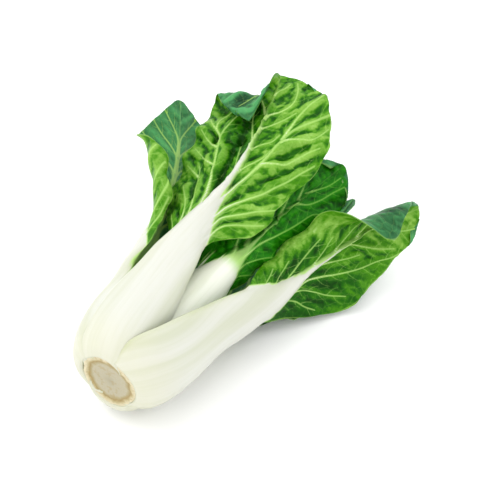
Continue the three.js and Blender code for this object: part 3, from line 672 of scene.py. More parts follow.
def plain_ribs(leaf):
    """Ribs of a leaf that has none drawn: a fan from the stalk's end, then pairs off the midrib."""
    ribs = []
    for side in (-1, 1):
        for i, foot in enumerate(np.linspace(leaf.start + 0.04, 0.86, 8)):
            reach = min(0.985, foot + 0.20 - 0.10 * foot)
            end = side * 0.93 * float(leaf.blade_half(np.array(reach), side > 0))
            stand = side * min(0.6 * float(leaf.stalk_half(np.array(foot))), 8)
            sweep = reach - foot
            route = [
                (foot - 0.06, stand * 0.8),
                (foot, stand),
                (foot + sweep * 0.3, stand + (end - stand) * 0.22),
                (foot + sweep * 0.62, stand + (end - stand) * 0.58),
                (reach, end),
            ]
            wide = 1.5 * (1 - 0.6 * i / 7) * leaf.drawing["breadth"]
            ribs.append((wide, 0.3, route))
    return ribs


def sample_ribs(leaf, ribs, pitch=0.5):
    """Points along the ribs: place across and along in mm, direction, half width and share run."""
    rows = []
    for wide, fine, route in ribs:
        curve = Route([(across, f * leaf.length) for f, across in route])
        share = np.linspace(0, 1, max(4, int(curve.length / pitch)))
        points = curve.at(curve.step_at(share))
        heading = unit(np.gradient(points, axis=0))
        width = fine + (wide - fine) * (1 - share) ** 2
        rows.append(np.column_stack([points, heading, width, share, np.full_like(share, curve.length)]))
    return rows


def branch_veins(leaf, stems, random):
    """Forks 9 to 17 mm long off the ribs, every few mm, to either side by turns.

    They leave a rib at 42 to 62 degrees and bend back to its own way as they run.
    """
    branches = []
    for stem in stems:
        length = stem[0, 6]
        place = 6.0 + random.uniform(0, 3)
        side = 1 if random.uniform() < 0.5 else -1
        while place < length - 2:
            x, y, hx, hy, _, share, _ = stem[int(place / length * (len(stem) - 1))]
            reach = random.uniform(9, 17) * (1 - 0.35 * share)
            turn = side * math.radians(random.uniform(42, 62))
            points = [(x, y)]
            heading = math.atan2(hy, hx) + turn
            for _ in range(4):
                heading += -side * math.radians(7) + math.radians(random.uniform(-7, 7))
                x += math.cos(heading) * reach / 4
                y += math.sin(heading) * reach / 4
                points.append((x, y))
            branches.append((0.42, 0.15, [(py / leaf.length, px) for px, py in points]))
            place += random.uniform(4.5, 8.0)
            side = -side
    return branches


def tree_of(points):
    tree = KDTree(len(points))
    for i, (x, y) in enumerate(points):
        tree.insert((x, y, 0), i)
    tree.balance()
    return tree


def nearest(tree, x, y, near):
    """Index of and distance to the nearest point, where near is true."""
    index = np.zeros(len(x), int)
    distance = np.full(len(x), FAR_OFF)
    for i in np.flatnonzero(near):
        _, index[i], distance[i] = tree.find((x[i], y[i], 0))
    return index, distance


def net_distance(leaf, x, y, near, random):
    """Distance to the walls of the finest net of veins, whose cells are pulled out of a hexagonal grid."""
    cell = leaf.sizes.net_cell / MM
    rows = np.arange(leaf.start * leaf.length - 15, leaf.length + cell, cell * 0.87)
    points = []
    for r, row in enumerate(rows):
        columns = np.arange(-60, 60, cell) + (r % 2) * cell / 2
        points.append(np.column_stack([columns, np.full_like(columns, row)]))
    points = np.concatenate(points)
    points += random.uniform(-0.36, 0.36, points.shape) * cell
    tree = tree_of(points)
    wall = np.full(len(x), cell)
    for i in np.flatnonzero(near):
        (a, _, da), (b, _, db) = tree.find_n((x[i], y[i], 0), 2)
        wall[i] = (db * db - da * da) / (2 * max(1e-6, (a - b).length))
    return wall


# ---------------------------------------------------------------- a leaf's flat grid


def leaf_rows(leaf, stalk_rows, blade_rows):
    """Places of the rows along a leaf: wide apart on the stalk, close on the blade and at the tip."""
    bend = leaf.start - 0.03
    stalk = bend * np.linspace(0, 1, stalk_rows, endpoint=False) ** 1.15
    t = np.linspace(0, 1, blade_rows)
    blade = bend + (1.0 - bend) * (0.86 * t + 0.14 * np.sin(t * np.pi / 2))
    return np.concatenate([stalk, blade])


class Sheet:
    """A leaf's flat grid of points, with the distances in mm that its relief and colours need.

    Rows run across the leaf and columns along it. Every array has a value for each point.
    """

    def __init__(self, leaf, detail):
        self.leaf = leaf
        stalk_rows, blade_rows, columns = DETAIL[detail]
        rows = leaf_rows(leaf, stalk_rows, blade_rows)
        self.shape = (len(rows), columns)
        # From -1 at the left edge to 1 at the right one; columns lie closer toward the edges.
        u = np.linspace(-1, 1, columns)
        u = u * (1 + 0.12 * (1 - u**2))
        u = np.repeat(u[None, :], len(rows), 0)
        f_row = np.repeat(rows[:, None], columns, 1)
        right = u >= 0
        # The end is round: the outer columns stop short of the tip.
        self.f = f_row - ROUNDING * np.abs(u) ** 3 * smoothstep(0.72, 1, f_row)
        self.along = self.f * leaf.length
        self.half = leaf.outline(f_row, right)
        # The edge is frayed, in bumps 9 mm and 3.5 mm long.
        self.side_seed = np.where(right, 31, 57)
        fray = noise(self.along / 9, self.side_seed * 1.0, leaf.seed) * 0.9
        fray += noise(self.along / 3.5, self.side_seed * 1.0, leaf.seed + 5) * 0.35
        blade_there = smoothstep(leaf.start, leaf.start + 0.05, self.f)
        self.across = u * (self.half + fray * blade_there * np.abs(u) ** 4)
        self.margin = np.minimum(self.half - np.abs(self.across), (1.0 - self.f) * leaf.length + 0.5)
        # Across the stalk and its midrib: 1 in the middle and 0 from the edges on.
        self.stalk_half = np.maximum(0.7, leaf.midrib_half(self.f))
        self.inside = np.clip(1 - (self.across / self.stalk_half) ** 2, 0, 1)
        # How much of the blade's relief and veins there is: 0 on the stalk, 1 on the blade.
        self.grow = smoothstep(leaf.start - 0.08, leaf.start + 0.08, self.f)
        self.measure_veins()

    def near_blade(self):
        """Where veins are looked up: the blade, and 0.14 of the leaf's length before it."""
        return (self.f > self.leaf.start - 0.14).ravel()

    def gap_to(self, points):
        """Index of and distance to the nearest of some points, for the points on and near the blade."""
        index, gap = nearest(tree_of(points), self.across.ravel(), self.along.ravel(), self.near_blade())
        return index, gap.reshape(self.shape)

    def measure_veins(self):
        """Distances to the nearest rib and fork, and to the walls of the finest net."""
        leaf = self.leaf
        random = np.random.RandomState(leaf.seed)
        ribs = sample_ribs(leaf, leaf.drawing.get("ribs") or plain_ribs(leaf))
        forks = np.concatenate(sample_ribs(leaf, branch_veins(leaf, ribs, random)))
        ribs = np.concatenate(ribs)
        rib_index, self.rib = self.gap_to(ribs[:, :2])
        self.rib_width = ribs[rib_index, 4].reshape(self.shape)
        self.rib_share = ribs[rib_index, 5].reshape(self.shape)
        self.clear = np.maximum(0, self.rib - self.rib_width)
        fork_index, self.fork = self.gap_to(forks[:, :2])
        self.fork_width = forks[fork_index, 4].reshape(self.shape)
        x, y = self.across.ravel(), self.along.ravel()
        self.net = net_distance(leaf, x, y, self.near_blade(), random).reshape(self.shape)


def wall_of(sheet):
    """How far the outer and the inner face stand from the leaf's middle surface, in mm.

    The stalk is thick in the middle and thin at its edges, and runs on as the midrib. The third
    result is how far the strands in a stalk stand out of its outer face.
    """
    leaf, f, inside = sheet.leaf, sheet.f, sheet.inside
    thin = leaf.sizes.blade_thickness / MM / 2
    blade_part = smoothstep(leaf.start - 0.05, leaf.start + 0.05, f)
    round_off = 0.5 + 0.6 * blade_part
    crest = leaf.stalk_thickness(f) * inside**round_off * (1 - smoothstep(0.9, 1, f))
    outer = thin + (SEAT + STALK_EDGE - thin) * (1 - blade_part) + crest
    outer += (SEAT + STALK_EDGE - thin) * blade_part * inside * (1 - smoothstep(0.75, 0.95, f))
    inner = -thin + (SEAT + thin) * (1 - blade_part)
    # Long, faint ribs under the skin of the stalk, 2.6 mm and 1.1 mm wide.
    strand = noise(sheet.across / 2.6, sheet.along / 90, leaf.seed + 3)
    strand = strand + 0.5 * noise(sheet.across / 1.1, sheet.along / 60, leaf.seed + 4)
    strand *= 0.03 * (1 - blade_part * (1 - inside)) * smoothstep(0, 0.1, f) * np.sqrt(inside)
    return outer, inner, strand


def pucker_of(sheet):
    """How far the blade stands over its middle surface (under it, below 0), in mm, and its crumples."""
    leaf, drawing = sheet.leaf, sheet.leaf.drawing
    f, across, along, inside, clear = sheet.f, sheet.across, sheet.along, sheet.inside, sheet.clear
    # It sinks between the ribs, less so near the margin.
    beside_stalk = np.maximum(0, np.abs(across) - sheet.stalk_half)
    between = (1 - np.exp(-((clear / 4.0) ** 2))) * (1 - np.exp(-((beside_stalk / 4) ** 2)))
    near_margin = smoothstep(0, 14, sheet.margin)
    sink = -drawing["pucker"] * between * (0.35 + 0.65 * near_margin)
    # Crumples run out toward the margin and the tip, as the ribs do.
    out_way = 0.78 * np.abs(across) + 0.62 * along
    cross_way = 0.62 * np.abs(across) - 0.78 * along
    crumple = np.zeros(sheet.shape)
    for i, (height, long, wide) in enumerate(CRUMPLES):
        crumple += height * noise(out_way / long, cross_way / wide + sheet.side_seed, leaf.seed + 11 + i)
    sink += drawing["crumple"] * crumple * (1 - np.exp(-((clear / 2.5) ** 2))) * (0.4 + 0.6 * near_margin)
    # It rises again to the forks, to the walls of the net and less to thin wrinkles.
    at_fork = np.exp(-((sheet.fork / 1.1) ** 2))
    sink -= 0.3 * drawing["pucker"] * (1 - at_fork) * between
    in_cell = 1 - np.exp(-((sheet.net / 1.5) ** 2))
    sink -= 0.14 * drawing["pucker"] * in_cell * between
    wrinkle = noise(across / 9 + along / 25, along / 8, leaf.seed + 31)
    wrinkle = wrinkle + 0.5 * noise(across / 4, along / 4, leaf.seed + 32)
    sink -= 0.22 * drawing["pucker"] * np.exp(-((wrinkle / 0.13) ** 2)) * between
    for depth, width, route in drawing.get("creases", ()):
        line = np.concatenate(sample_ribs(leaf, [(1, 1, route)]))[:, :2]
        _, gap = sheet.gap_to(line)
        sink -= depth * np.exp(-((gap / width) ** 2))
    sink *= sheet.grow * (1 - inside**0.5 * (1 - smoothstep(0.55, 0.75, f)))
    return sink, crumple


def ridge_of(sheet):
    """How far the ribs stand out of the blade, in mm."""
    ridge = 0.8 * sheet.rib_width * np.clip(1 - (sheet.rib / (1.2 * sheet.rib_width + 0.3)) ** 2, 0, 1) ** 1.2
    on_stalk = smoothstep(0.05, 0.6, sheet.inside) * (1 - smoothstep(0.55, 0.7, sheet.f))
    return ridge * (sheet.grow * (1 - on_stalk))


def stalk_colour_of(sheet):
    """Shares of the stalk's white, and of the yellow-green that it and the ribs turn before the blade.

    White runs out of the stalk along the ribs, turns pale yellow-green and fades into the blade.
    """
    leaf, drawing = sheet.leaf, sheet.leaf.drawing
    f, across, rib_width, rib_share = sheet.f, sheet.across, sheet.rib_width, sheet.rib_share
    reach = smoothstep(leaf.start - 0.05, leaf.start + 0.2, f)
    # Streaks 1.6 mm and 0.8 mm wide feather every edge of the white.
    streak = noise(across / 1.6, sheet.along / 26, leaf.seed + 21)
    streak = streak + 0.6 * noise(across / 0.8, sheet.along / 18, leaf.seed + 22)
    spread = drawing.get("spread", 2.6) * smoothstep(leaf.start - 0.05, leaf.start + 0.04, f)
    spread = spread * (1 - smoothstep(leaf.start, leaf.start + 0.28, f))
    core = sheet.stalk_half * (1.0 - drawing.get("narrow", 0.3) * reach) + spread - np.abs(across)
    white = smoothstep(-0.8, 1.6, core + streak * (0.3 + 0.7 * reach))
    white_until, white_gone = drawing.get("white_end", (0.14, 0.36))
    white *= 1 - smoothstep(leaf.start + white_until, leaf.start + white_gone, f)
    edge_first = 0.05 * np.clip(np.abs(across) / np.maximum(1, sheet.half), 0, 1) ** 2
    stalk_end = leaf.start + drawing.get("white_shift", 0)
    feather = streak * drawing.get("streaks", 0.025)
    white = np.maximum(white, 1 - smoothstep(stalk_end - 0.06, stalk_end + 0.03, f + edge_first + feather))
    on_rib = 1 - smoothstep(0.3, 1.0, sheet.rib / (0.45 * rib_width + 0.17))
    on_rib = on_rib * sheet.grow * smoothstep(0, 0.14, rib_share)
    rib_fade = 1 - smoothstep(0.12, 0.8, rib_share + 0.8 * np.maximum(0, f - 0.6))
    white = np.maximum(white, drawing.get("lime", 1.0) * on_rib * rib_fade)
    beside = 1 - smoothstep(0.3, 4.2 * (1 - 0.85 * reach), sheet.clear / (rib_width + 0.3) + streak * 0.3)
    beside = 0.6 * beside * sheet.grow * (1 - smoothstep(0.05, 0.45, rib_share))
    lime = np.maximum(on_rib * (0.88 - 0.72 * rib_share), beside)
    lime = np.maximum(lime, smoothstep(-0.6, 0.8, core) * (1 - 0.75 * smoothstep(0.6, 0.88, f)))
    lime *= drawing.get("lime", 1.0)
    return white, lime


def green_of(sheet, sink, crumple, ridge):
    """Where the outer and the inner face lie between their darkest green, 0, and their palest, 1.

    Painted shade and painted light: valleys are painted dark, and what stands over its surroundings and the
    crests of the crumples painted light; some places are paler or darker on both sides, by the leaf's own
    colour or as painted light and shade.
    """
    # Painted shade in the hollows and painted light on what stands proud, from the relief around each point.
    proud = sink + 0.25 * ridge
    proud = proud - blurred(proud, 3)
    # Painted light on the crumples' crests and painted shade in their troughs.
    tone_and_shade = 0.43 + 0.04 * sheet.leaf.drawing["crumple"] * crumple
    relief = 0.14 * np.clip(proud / 0.18, -2.6, 0.9)
    paint = np.zeros(sheet.shape)
    for amount, tint_f, tint_across, tint_reach in sheet.leaf.drawing.get("tints_light_and_shade", ()):
        gap = (sheet.along - tint_f * sheet.leaf.length) ** 2 + (sheet.across - tint_across) ** 2
        paint += amount * np.exp(-gap / tint_reach**2)
    return tone_and_shade + relief + paint, 1.0 - tone_and_shade - 1.5 * relief + paint


# ---------------------------------------------------------------- a leaf's mesh


def deselect_all():
    if bpy.context.object and bpy.context.object.mode != "OBJECT":
        bpy.ops.object.mode_set(mode="OBJECT")
    bpy.ops.object.select_all(action="DESELECT")


def faces_of(sheet, middle, sink, ridge):
    """Points of the outer and the inner face, in mm in the drawings' frame."""
    outer, inner, strand = wall_of(sheet)
    normal = unit(np.cross(np.gradient(middle, axis=1), np.gradient(middle, axis=0)))
    body = middle + normal * sink[..., None]
    body_normal = unit(np.cross(np.gradient(body, axis=1), np.gradient(body, axis=0)))
    outer_points = ease_to_floor(body + body_normal * (outer + ridge + strand)[..., None])
    inner_points = ease_to_floor(body + body_normal * (inner + 0.35 * ridge)[..., None])
    for points in (outer_points, inner_points):
        points[..., 2] = np.maximum(points[..., 2], LOWEST)
    return outer_points, inner_points


def build_leaf(name, detail, sizes):
    """A closed leaf from a flat grid that gets a wall and is then bent and puckered point by point."""
    leaf = Leaf(name, sizes)
    sheet = Sheet(leaf, detail)
    sink, crumple = pucker_of(sheet)
    ridge = ridge_of(sheet)
    outer_points, inner_points = faces_of(sheet, leaf.bend(sheet.f, sheet.across), sink, ridge)

    # The sizes of the grid and its wall are of no account: every point is placed below.
    deselect_all()
    rows, columns = sheet.shape
    bpy.ops.mesh.primitive_grid_add(x_subdivisions=columns - 1, y_subdivisions=rows - 1, size=0.1)
    piece = bpy.context.object
    piece.name = name
    piece.data.name = name
    solidify = piece.modifiers.new("Wall", "SOLIDIFY")
    solidify.thickness = 0.001
    solidify.offset = 1
    bpy.ops.object.modifier_apply(modifier="Wall")
    mesh = piece.data

    # The first half of the points is one face and the second half the other, in one order.
    shell = rows * columns
    start = np.array([v.co for v in mesh.vertices])
    order = np.lexsort((start[:shell, 0].round(6), start[:shell, 1].round(6)))
    place = np.empty((2 * shell, 3))
    place[:shell][order] = outer_points.reshape(-1, 3)
    place[shell:][order] = inner_points.reshape(-1, 3)
    mesh.vertices.foreach_set("co", ((place + ORIGIN) * MM).astype(np.float32).ravel())

    def keep(title, first, second):
        """Stores a value for each point of the outer and of the inner face."""
        layer = mesh.attributes.new(title, "FLOAT", "POINT")
        both = np.empty(2 * shell, np.float32)
        both[:shell][order] = np.broadcast_to(first, sheet.shape).ravel()
        both[shell:][order] = np.broadcast_to(second, sheet.shape).ravel()
        layer.data.foreach_set("value", both)

    white, lime = stalk_colour_of(sheet)
    inner_white = white * 0.8 * (1 - smoothstep(leaf.start - 0.18, leaf.start - 0.04, sheet.f))
    # Where the painted shade at the stalk's foot lies.
    foot = 1 - smoothstep(0.0, 0.14, sheet.f)
    vein = np.minimum(sheet.clear / 0.55, np.maximum(0, sheet.fork - sheet.fork_width) / 0.45 + 0.45)
    vein, net, margin = np.clip(vein, 0, 2), np.clip(sheet.net, 0, 6), np.clip(sheet.margin, 0, 20)
    outer_tone_and_shade, inner_tone_and_shade = green_of(sheet, sink, crumple, ridge)
    keep("white", white, inner_white)
    keep("lime", lime, lime * 0.6)
    # Where the greens lie, with the painted light and shade of the relief and the tints.
    keep("tone_and_shade", outer_tone_and_shade, inner_tone_and_shade)
    keep("upper", 0.0, 1.0)
    for title, value in (("vein", vein), ("net", net), ("margin", margin), ("foot", foot)):
        keep(title, value, value)

    # The drawing's own mm, so that patterns follow the leaf; the inner face has its own patterns.
    flat = mesh.attributes.new("flat", "FLOAT_VECTOR", "POINT")
    x, y = sheet.across.ravel(), sheet.along.ravel()
    spots = np.empty((2 * shell, 3), np.float32)
    spots[:shell][order] = np.stack([x, y, np.zeros_like(x)], -1)
    spots[shell:][order] = np.stack([x, y, np.full_like(x, PATTERN_GAP)], -1)
    flat.data.foreach_set("vector", spots.ravel())
    lay_out_map(mesh, shell, spots)

    mesh.update()
    bpy.ops.object.shade_smooth()
    face_outward(mesh)
    return piece


def lay_out_map(mesh, shell, spots):
    """A map for baking: the outer face on the left half, the inner one on the right.

    The faces of the rim get a narrow strip of their own along their side.
    """
    while mesh.uv_layers:
        mesh.uv_layers.remove(mesh.uv_layers[0])
    layer = mesh.uv_layers.new(name="OFBake")
    loops = np.empty(len(mesh.loops), np.int64)
    mesh.loops.foreach_get("vertex_index", loops)
    faces = np.repeat(np.arange(len(mesh.polygons)), [p.loop_total for p in mesh.polygons])
    inner = loops >= shell
    counts = np.bincount(faces, weights=inner, minlength=len(mesh.polygons))
    rim = (counts[faces] > 0) & (counts[faces] < 4)
    wide = 2.15 * np.abs(spots[:, 0]).max()
    tall = spots[:, 1].max() + 4
    scale = 0.98 / max(2 * wide + 8, tall)
    u = 0.01 + scale * (wide / 2 + 2 + spots[loops, 0])
    v = 0.01 + scale * (2 + spots[loops, 1])
    u = u + np.where(inner & ~rim, scale * (wide + 2), 0)
    middle = 0.01 + scale * (wide / 2 + 2)
    step = scale * 0.9
    outward = np.where(u > middle, 1.0, -1.0)
    u = u + np.where(rim & inner, step * outward, 0)
    tips = spots[loops, 1] > spots[:, 1].max() - 1.5
    v = v + np.where(rim & inner & tips, step, 0)
    feet = spots[loops, 1] < 0.5
    v = v - np.where(rim & inner & feet, step, 0)
    layer.data.foreach_set("uv", np.column_stack([u, v]).astype(np.float32).ravel())


def face_outward(mesh):
    """Turns the faces round if the closed mesh is inside out."""
    co = np.empty(len(mesh.vertices) * 3, np.float32)
    mesh.vertices.foreach_get("co", co)
    co = co.reshape(-1, 3).astype(float)
    mesh.calc_loop_triangles()
    triangles = np.empty(len(mesh.loop_triangles) * 3, np.int32)
    mesh.loop_triangles.foreach_get("vertices", triangles)
    a, b, c = co[triangles.reshape(-1, 3)].transpose(1, 0, 2)
    volume = (np.cross(a, b) * c).sum() / 6
    if volume < 0:
        mesh.flip_normals()


# ---------------------------------------------------------------- the crown's mesh


# From the middle of the cut round to the inner end: (depth, share of the radius, mm inward).
CROWN_PROFILE = [
    (0, 0, 0), (0.10, 0.17, 0), (0.30, 0.52, 0), (0.48, 0.83, 0), (0.56, 0.96, 0), (0.60, 1.0, 0.9),
    (0.66, 1.07, 2.0), (0.74, 1.12, 4.0), (0.82, 1.0, 9.0), (0.90, 0.6, 16), (0.96, 0.3, 21), (1, 0, 24),
]


def build_crown(sizes):
    """The cut stem: a rough corky rim round a moist pith, and a plug behind it that tapers inward."""
    deselect_all()
    bpy.ops.mesh.primitive_uv_sphere_add(segments=192, ring_count=96, radius=1)
    piece = bpy.context.object
    piece.name = "cut_crown"
    mesh = piece.data
    mesh.name = "cut_crown"
    co = np.array([v.co for v in mesh.vertices])
    turn = np.arctan2(co[:, 1], co[:, 0])
    depth = np.arccos(np.clip(co[:, 2], -1, 1)) / np.pi  # 0 in the middle of the cut, 1 inside
    radius = sizes.crown_radius / MM
    across = read_table(CROWN_PROFILE, depth, 1)
    inward = read_table(CROWN_PROFILE, depth, 2)
    face = 1 - smoothstep(0.56, 0.62, depth)
    lobes = 0.025 * np.sin(3 * turn + 0.6) + 0.018 * np.sin(5 * turn + 2.0) + 0.012 * np.sin(9 * turn + 4.0)
    cx, cy = np.cos(turn) * across * radius, np.sin(turn) * across * radius
    # Crumbs 2.2 mm and 0.9 mm across, and an outline that is ragged 36 and 88 times round.
    rough = noise(cx / 2.2 + 40, cy / 2.2 + 40, 7) + 0.6 * noise(cx / 0.9 + 80, cy / 0.9 + 80, 8)
    ragged = noise(turn * 9 / np.pi * 2, depth * 0 + 3.5, 9)
    ragged = ragged + 0.6 * noise(turn * 22 / np.pi * 2, depth * 0 + 7.5, 10)
    swell = smoothstep(0.3, 1.0, across)
    far = across * (1 + lobes * swell + 0.014 * ragged * swell * smoothstep(0.45, 0.6, depth))
    # The rim is crusty and stands out; its inner side is torn and wanders in and out.
    torn = 0.80 + 0.035 * ragged + 0.02 * np.sin(3 * turn + 1.0)
    rim = smoothstep(torn - 0.05, torn + 0.05, across) * (1 - smoothstep(0.97, 1.0, across))
    relief = face * (0.7 * rim + 0.20 * rough * (0.35 + 1.5 * rim))
    relief -= face * 0.45 * (1 - smoothstep(0.3, 0.8, across))
    x = np.cos(turn) * far * radius
    z = CUT_HEIGHT + np.sin(turn) * far * radius
    y = inward - relief + 0.2
    place = np.stack([x, y, z], -1)
    mesh.vertices.foreach_set("co", ((place + ORIGIN) * MM).astype(np.float32).ravel())
    for title, values in (("ring", across), ("rough", rough)):
        layer = mesh.attributes.new(title, "FLOAT", "POINT")
        layer.data.foreach_set("value", values.astype(np.float32))
    mesh.update()
    bpy.ops.object.shade_smooth()
    face_outward(mesh)
    return piece


# ---------------------------------------------------------------- materials


def linear(code):
    """An sRGB hex colour as a linear RGBA tuple."""
    parts = [int(code[i : i + 2], 16) / 255 for i in (1, 3, 5)]
    return tuple(c / 12.92 if c <= 0.04045 else ((c + 0.055) / 1.055) ** 2.4 for c in parts) + (1.0,)


def add_node(tree, kind, settings=None, inputs=None, stops=()):
    """Adds a node with its settings, and its inputs as values or as links from other sockets.

    A ramp's stops are (place, sRGB hex value), in order.
    """
    made = tree.nodes.new(kind)
    for key, value in (settings or {}).items():
        setattr(made, key, value)
    for key, value in (inputs or {}).items():
        socket = made.inputs[key]
        if isinstance(value, bpy.types.NodeSocket):
            tree.links.new(value, socket)
        else:
            socket.default_value = value
    while stops and len(made.color_ramp.elements) < len(stops):
        made.color_ramp.elements.new(0.5)
    for i, (place, code) in enumerate(stops):
        made.color_ramp.elements[i].position = place
    for i, (place, code) in enumerate(stops):
        made.color_ramp.elements[i].color = linear(code)
    return made


def blank_material(name):
    material = bpy.data.materials.new(name)
    material.use_nodes = True
    material.node_tree.nodes.clear()
    return material, material.node_tree


# What every mix of colours and every soft step of a mask is set to.
RGBA = {"data_type": "RGBA"}
SOFT = {"interpolation_type": "SMOOTHSTEP"}

# Small tinges, as sRGB hex values.
LIT_EDGE = "#9cc860"  # where light comes through a blade's rim
FOOT_SHADE = "#d3cfa4"  # warm, at the foot of a stalk
# Painted shade, warm, at the foot of the stalks where they crowd into the crown.
JOINT = "#a6ae70"  # yellow-green, along a stalk's edges
FIBRE = "#a99a70"  # ends of fibres in the cut
PIT = "#a08a55"  # torn pits of the cut

# Between a blade's valleys and its middle green, and between that and its ridges; the darkest greens also
# carry painted shade and the palest painted light.
OUTER_BETWEEN = ("#1a5a02", "#7cab42")
INNER_BETWEEN = ("#0d5200", "#3c920c")
INNER_DEEP_AND_SHADE = "#052e00"
INNER_PALE_AND_LIT = "#74b040"
INNER_VEIN = "#6db33e"
# Painted light: whiter than the outer stalks, against the shade that the outer leaves cast on the inner
# stalks.
INNER_STALK_LIT = "#e2e4d8"


def leaf_skin(name, greens, stalk, vein_code, colours):
    """Fresh bok choy leaf: waxy white petiole, and a thin chlorophyll-green blade with pale veins.

    The wax gives soft, broad highlights; the upper face is bluer and duller than the lower one.
    """
    material, tree = blank_material(name)
    kept = {}
    for title in ("tone_and_shade", "white", "lime", "vein", "net", "margin", "upper", "foot"):
        kept[title] = add_node(tree, "ShaderNodeAttribute", {"attribute_name": title}).outputs["Fac"]
    flat = add_node(tree, "ShaderNodeAttribute", {"attribute_name": "flat"}).outputs["Vector"]

    # In the flat drawing's mm: blotches, partly painted highlight, and a grain of the blade; strands under
    # the stalk's skin and bands across it, the bands partly painted shade, both drawn out along it.
    drawn_out = {"Vector": flat, "Scale": (1.0, 30.0, 1.0)}
    long_way = add_node(tree, "ShaderNodeMapping", {"vector_type": "TEXTURE"}, drawn_out).outputs["Vector"]
    patterns = []
    for place, size, detail in ((flat, 14, 3.0), (flat, 1.3, 2.0), (long_way, 1.5, 2.0), (long_way, 11, 1.5)):
        pattern = {"Vector": place, "Scale": 1 / size, "Detail": detail}
        patterns.append(add_node(tree, "ShaderNodeTexNoise", None, pattern).outputs["Fac"])
    blotch_and_sheen, grain, strands, bands = patterns

    # Shares of what is laid over the plain colours: (value, where it is none, where it is full, full).
    shares = []
    for value, none, full, most in (
        (kept["vein"], 1.0, 0.0, 0.6),
        (kept["net"], 0.5, 0.0, 0.1),
        (kept["margin"], 0.9, 0.1, 0.4),
        (kept["white"], 0.0, 0.5, 0.65),
        (strands, 0.4, 0.8, 0.18),
        (bands, 0.4, 0.7, 0.5),
        (kept["margin"], 2.4, 0.2, 0.25),
        (kept["white"], 0.3, 0.95, 1.0),
    ):
        reach = {"Value": value, "From Min": none, "From Max": full, "To Max": most}
        shares.append(add_node(tree, "ShaderNodeMapRange", SOFT, reach).outputs["Result"])
    veins, net, rim, fringe, streaks, broad, joints, waxy = shares
    veins = add_node(tree, "ShaderNodeMath", {"operation": "MAXIMUM"}, {0: veins, 1: net}).outputs[0]
    # Painted shade at the foot of the stalk, by the crown.
    foot_shade = add_node(tree, "ShaderNodeMath", {"operation": "MULTIPLY"}, {0: kept["foot"], 1: 0.25}).outputs[0]

    # The lower face runs through its greens, from the painted shade of the valleys to the painted light of
    # the ridges; the upper through two, from its painted shade to its blue-green.
    # The blotches darken and lighten the greens: partly the blade's own mottling, partly painted highlight in
    # broad glossy patches.
    mottle = add_node(
        tree, "ShaderNodeMath", {"operation": "MULTIPLY_ADD"}, {0: blotch_and_sheen, 1: 0.5, 2: -0.37}
    ).outputs[0]
    mottle = add_node(
        tree, "ShaderNodeMath", {"operation": "MULTIPLY_ADD"}, {0: grain, 1: 0.22, 2: mottle}
    ).outputs[0]
    shade = add_node(tree, "ShaderNodeMath", {"operation": "ADD"}, {0: kept["tone_and_shade"], 1: mottle}).outputs[0]
    stops = [(i / (len(greens) - 1), code) for i, code in enumerate(greens)]
    lower_face = add_node(tree, "ShaderNodeValToRGB", None, {"Fac": shade}, stops).outputs["Color"]
    pair = {0: shade, 6: linear(colours.upper_deep_and_shade), 7: linear(colours.upper_face)}
    upper_face = add_node(tree, "ShaderNodeMix", RGBA, pair).outputs[2]
    pair = {0: kept["upper"], 6: lower_face, 7: upper_face}
    green = add_node(tree, "ShaderNodeMix", RGBA, pair).outputs[2]
    # Over it lie the veins and their net, a rim that lets light through, the ribs, and the
    # yellow-green between white and green.
    rib = colours.rib
    for share, code in ((veins, vein_code), (rim, LIT_EDGE), (kept["lime"], rib), (fringe, rib)):
        green = add_node(tree, "ShaderNodeMix", RGBA, {0: share, 6: green, 7: linear(code)}).outputs[2]

    # The stalk's wax: faint bands and strands, the broad bands partly painted shade, a warm painted shade at
    # the foot and yellow-green joints.
    wax = linear(stalk)
    band = colours.stalk_shade
    for share, code in ((streaks, band), (broad, band), (foot_shade, FOOT_SHADE), (joints, JOINT)):
        wax = add_node(tree, "ShaderNodeMix", RGBA, {0: share, 6: wax, 7: linear(code)}).outputs[2]
    colour = add_node(tree, "ShaderNodeMix", RGBA, {0: waxy, 6: green, 7: wax}).outputs[2]

    rough = add_node(
        tree, "ShaderNodeMath", {"operation": "MULTIPLY_ADD"}, {0: grain, 1: 0.15, 2: 0.3}
    ).outputs[0]
    # The grain is pressed into the blade alone; the strands stand out on the stalk.
    leafy = add_node(tree, "ShaderNodeMath", {"operation": "SUBTRACT"}, {0: 1.0, 1: waxy}).outputs[0]
    fine = add_node(tree, "ShaderNodeMath", {"operation": "MULTIPLY"}, {0: grain, 1: leafy}).outputs[0]
    ropy = add_node(tree, "ShaderNodeMath", {"operation": "MULTIPLY"}, {0: strands, 1: waxy}).outputs[0]
    height = add_node(
        tree, "ShaderNodeMath", {"operation": "MULTIPLY_ADD"}, {0: ropy, 1: 0.4, 2: fine}
    ).outputs[0]
    bump = add_node(
        tree, "ShaderNodeBump", None, {"Height": height, "Strength": 0.35, "Distance": 0.4 * MM}
    )
    skin = add_node(
        tree,
        "ShaderNodeBsdfPrincipled",
        {"subsurface_method": "BURLEY"},
        {
            "Base Color": colour,
            "Roughness": rough,
            "Normal": bump.outputs["Normal"],
            "IOR": 1.4,
            "Subsurface Weight": 0.1,
            "Subsurface Radius": (1.0, 0.9, 0.5),
            "Subsurface Scale": 3 * MM,
            "Specular IOR Level": 0.14,
        },
    )
    add_node(tree, "ShaderNodeOutputMaterial", None, {"Surface": skin.outputs["BSDF"]})
    return material


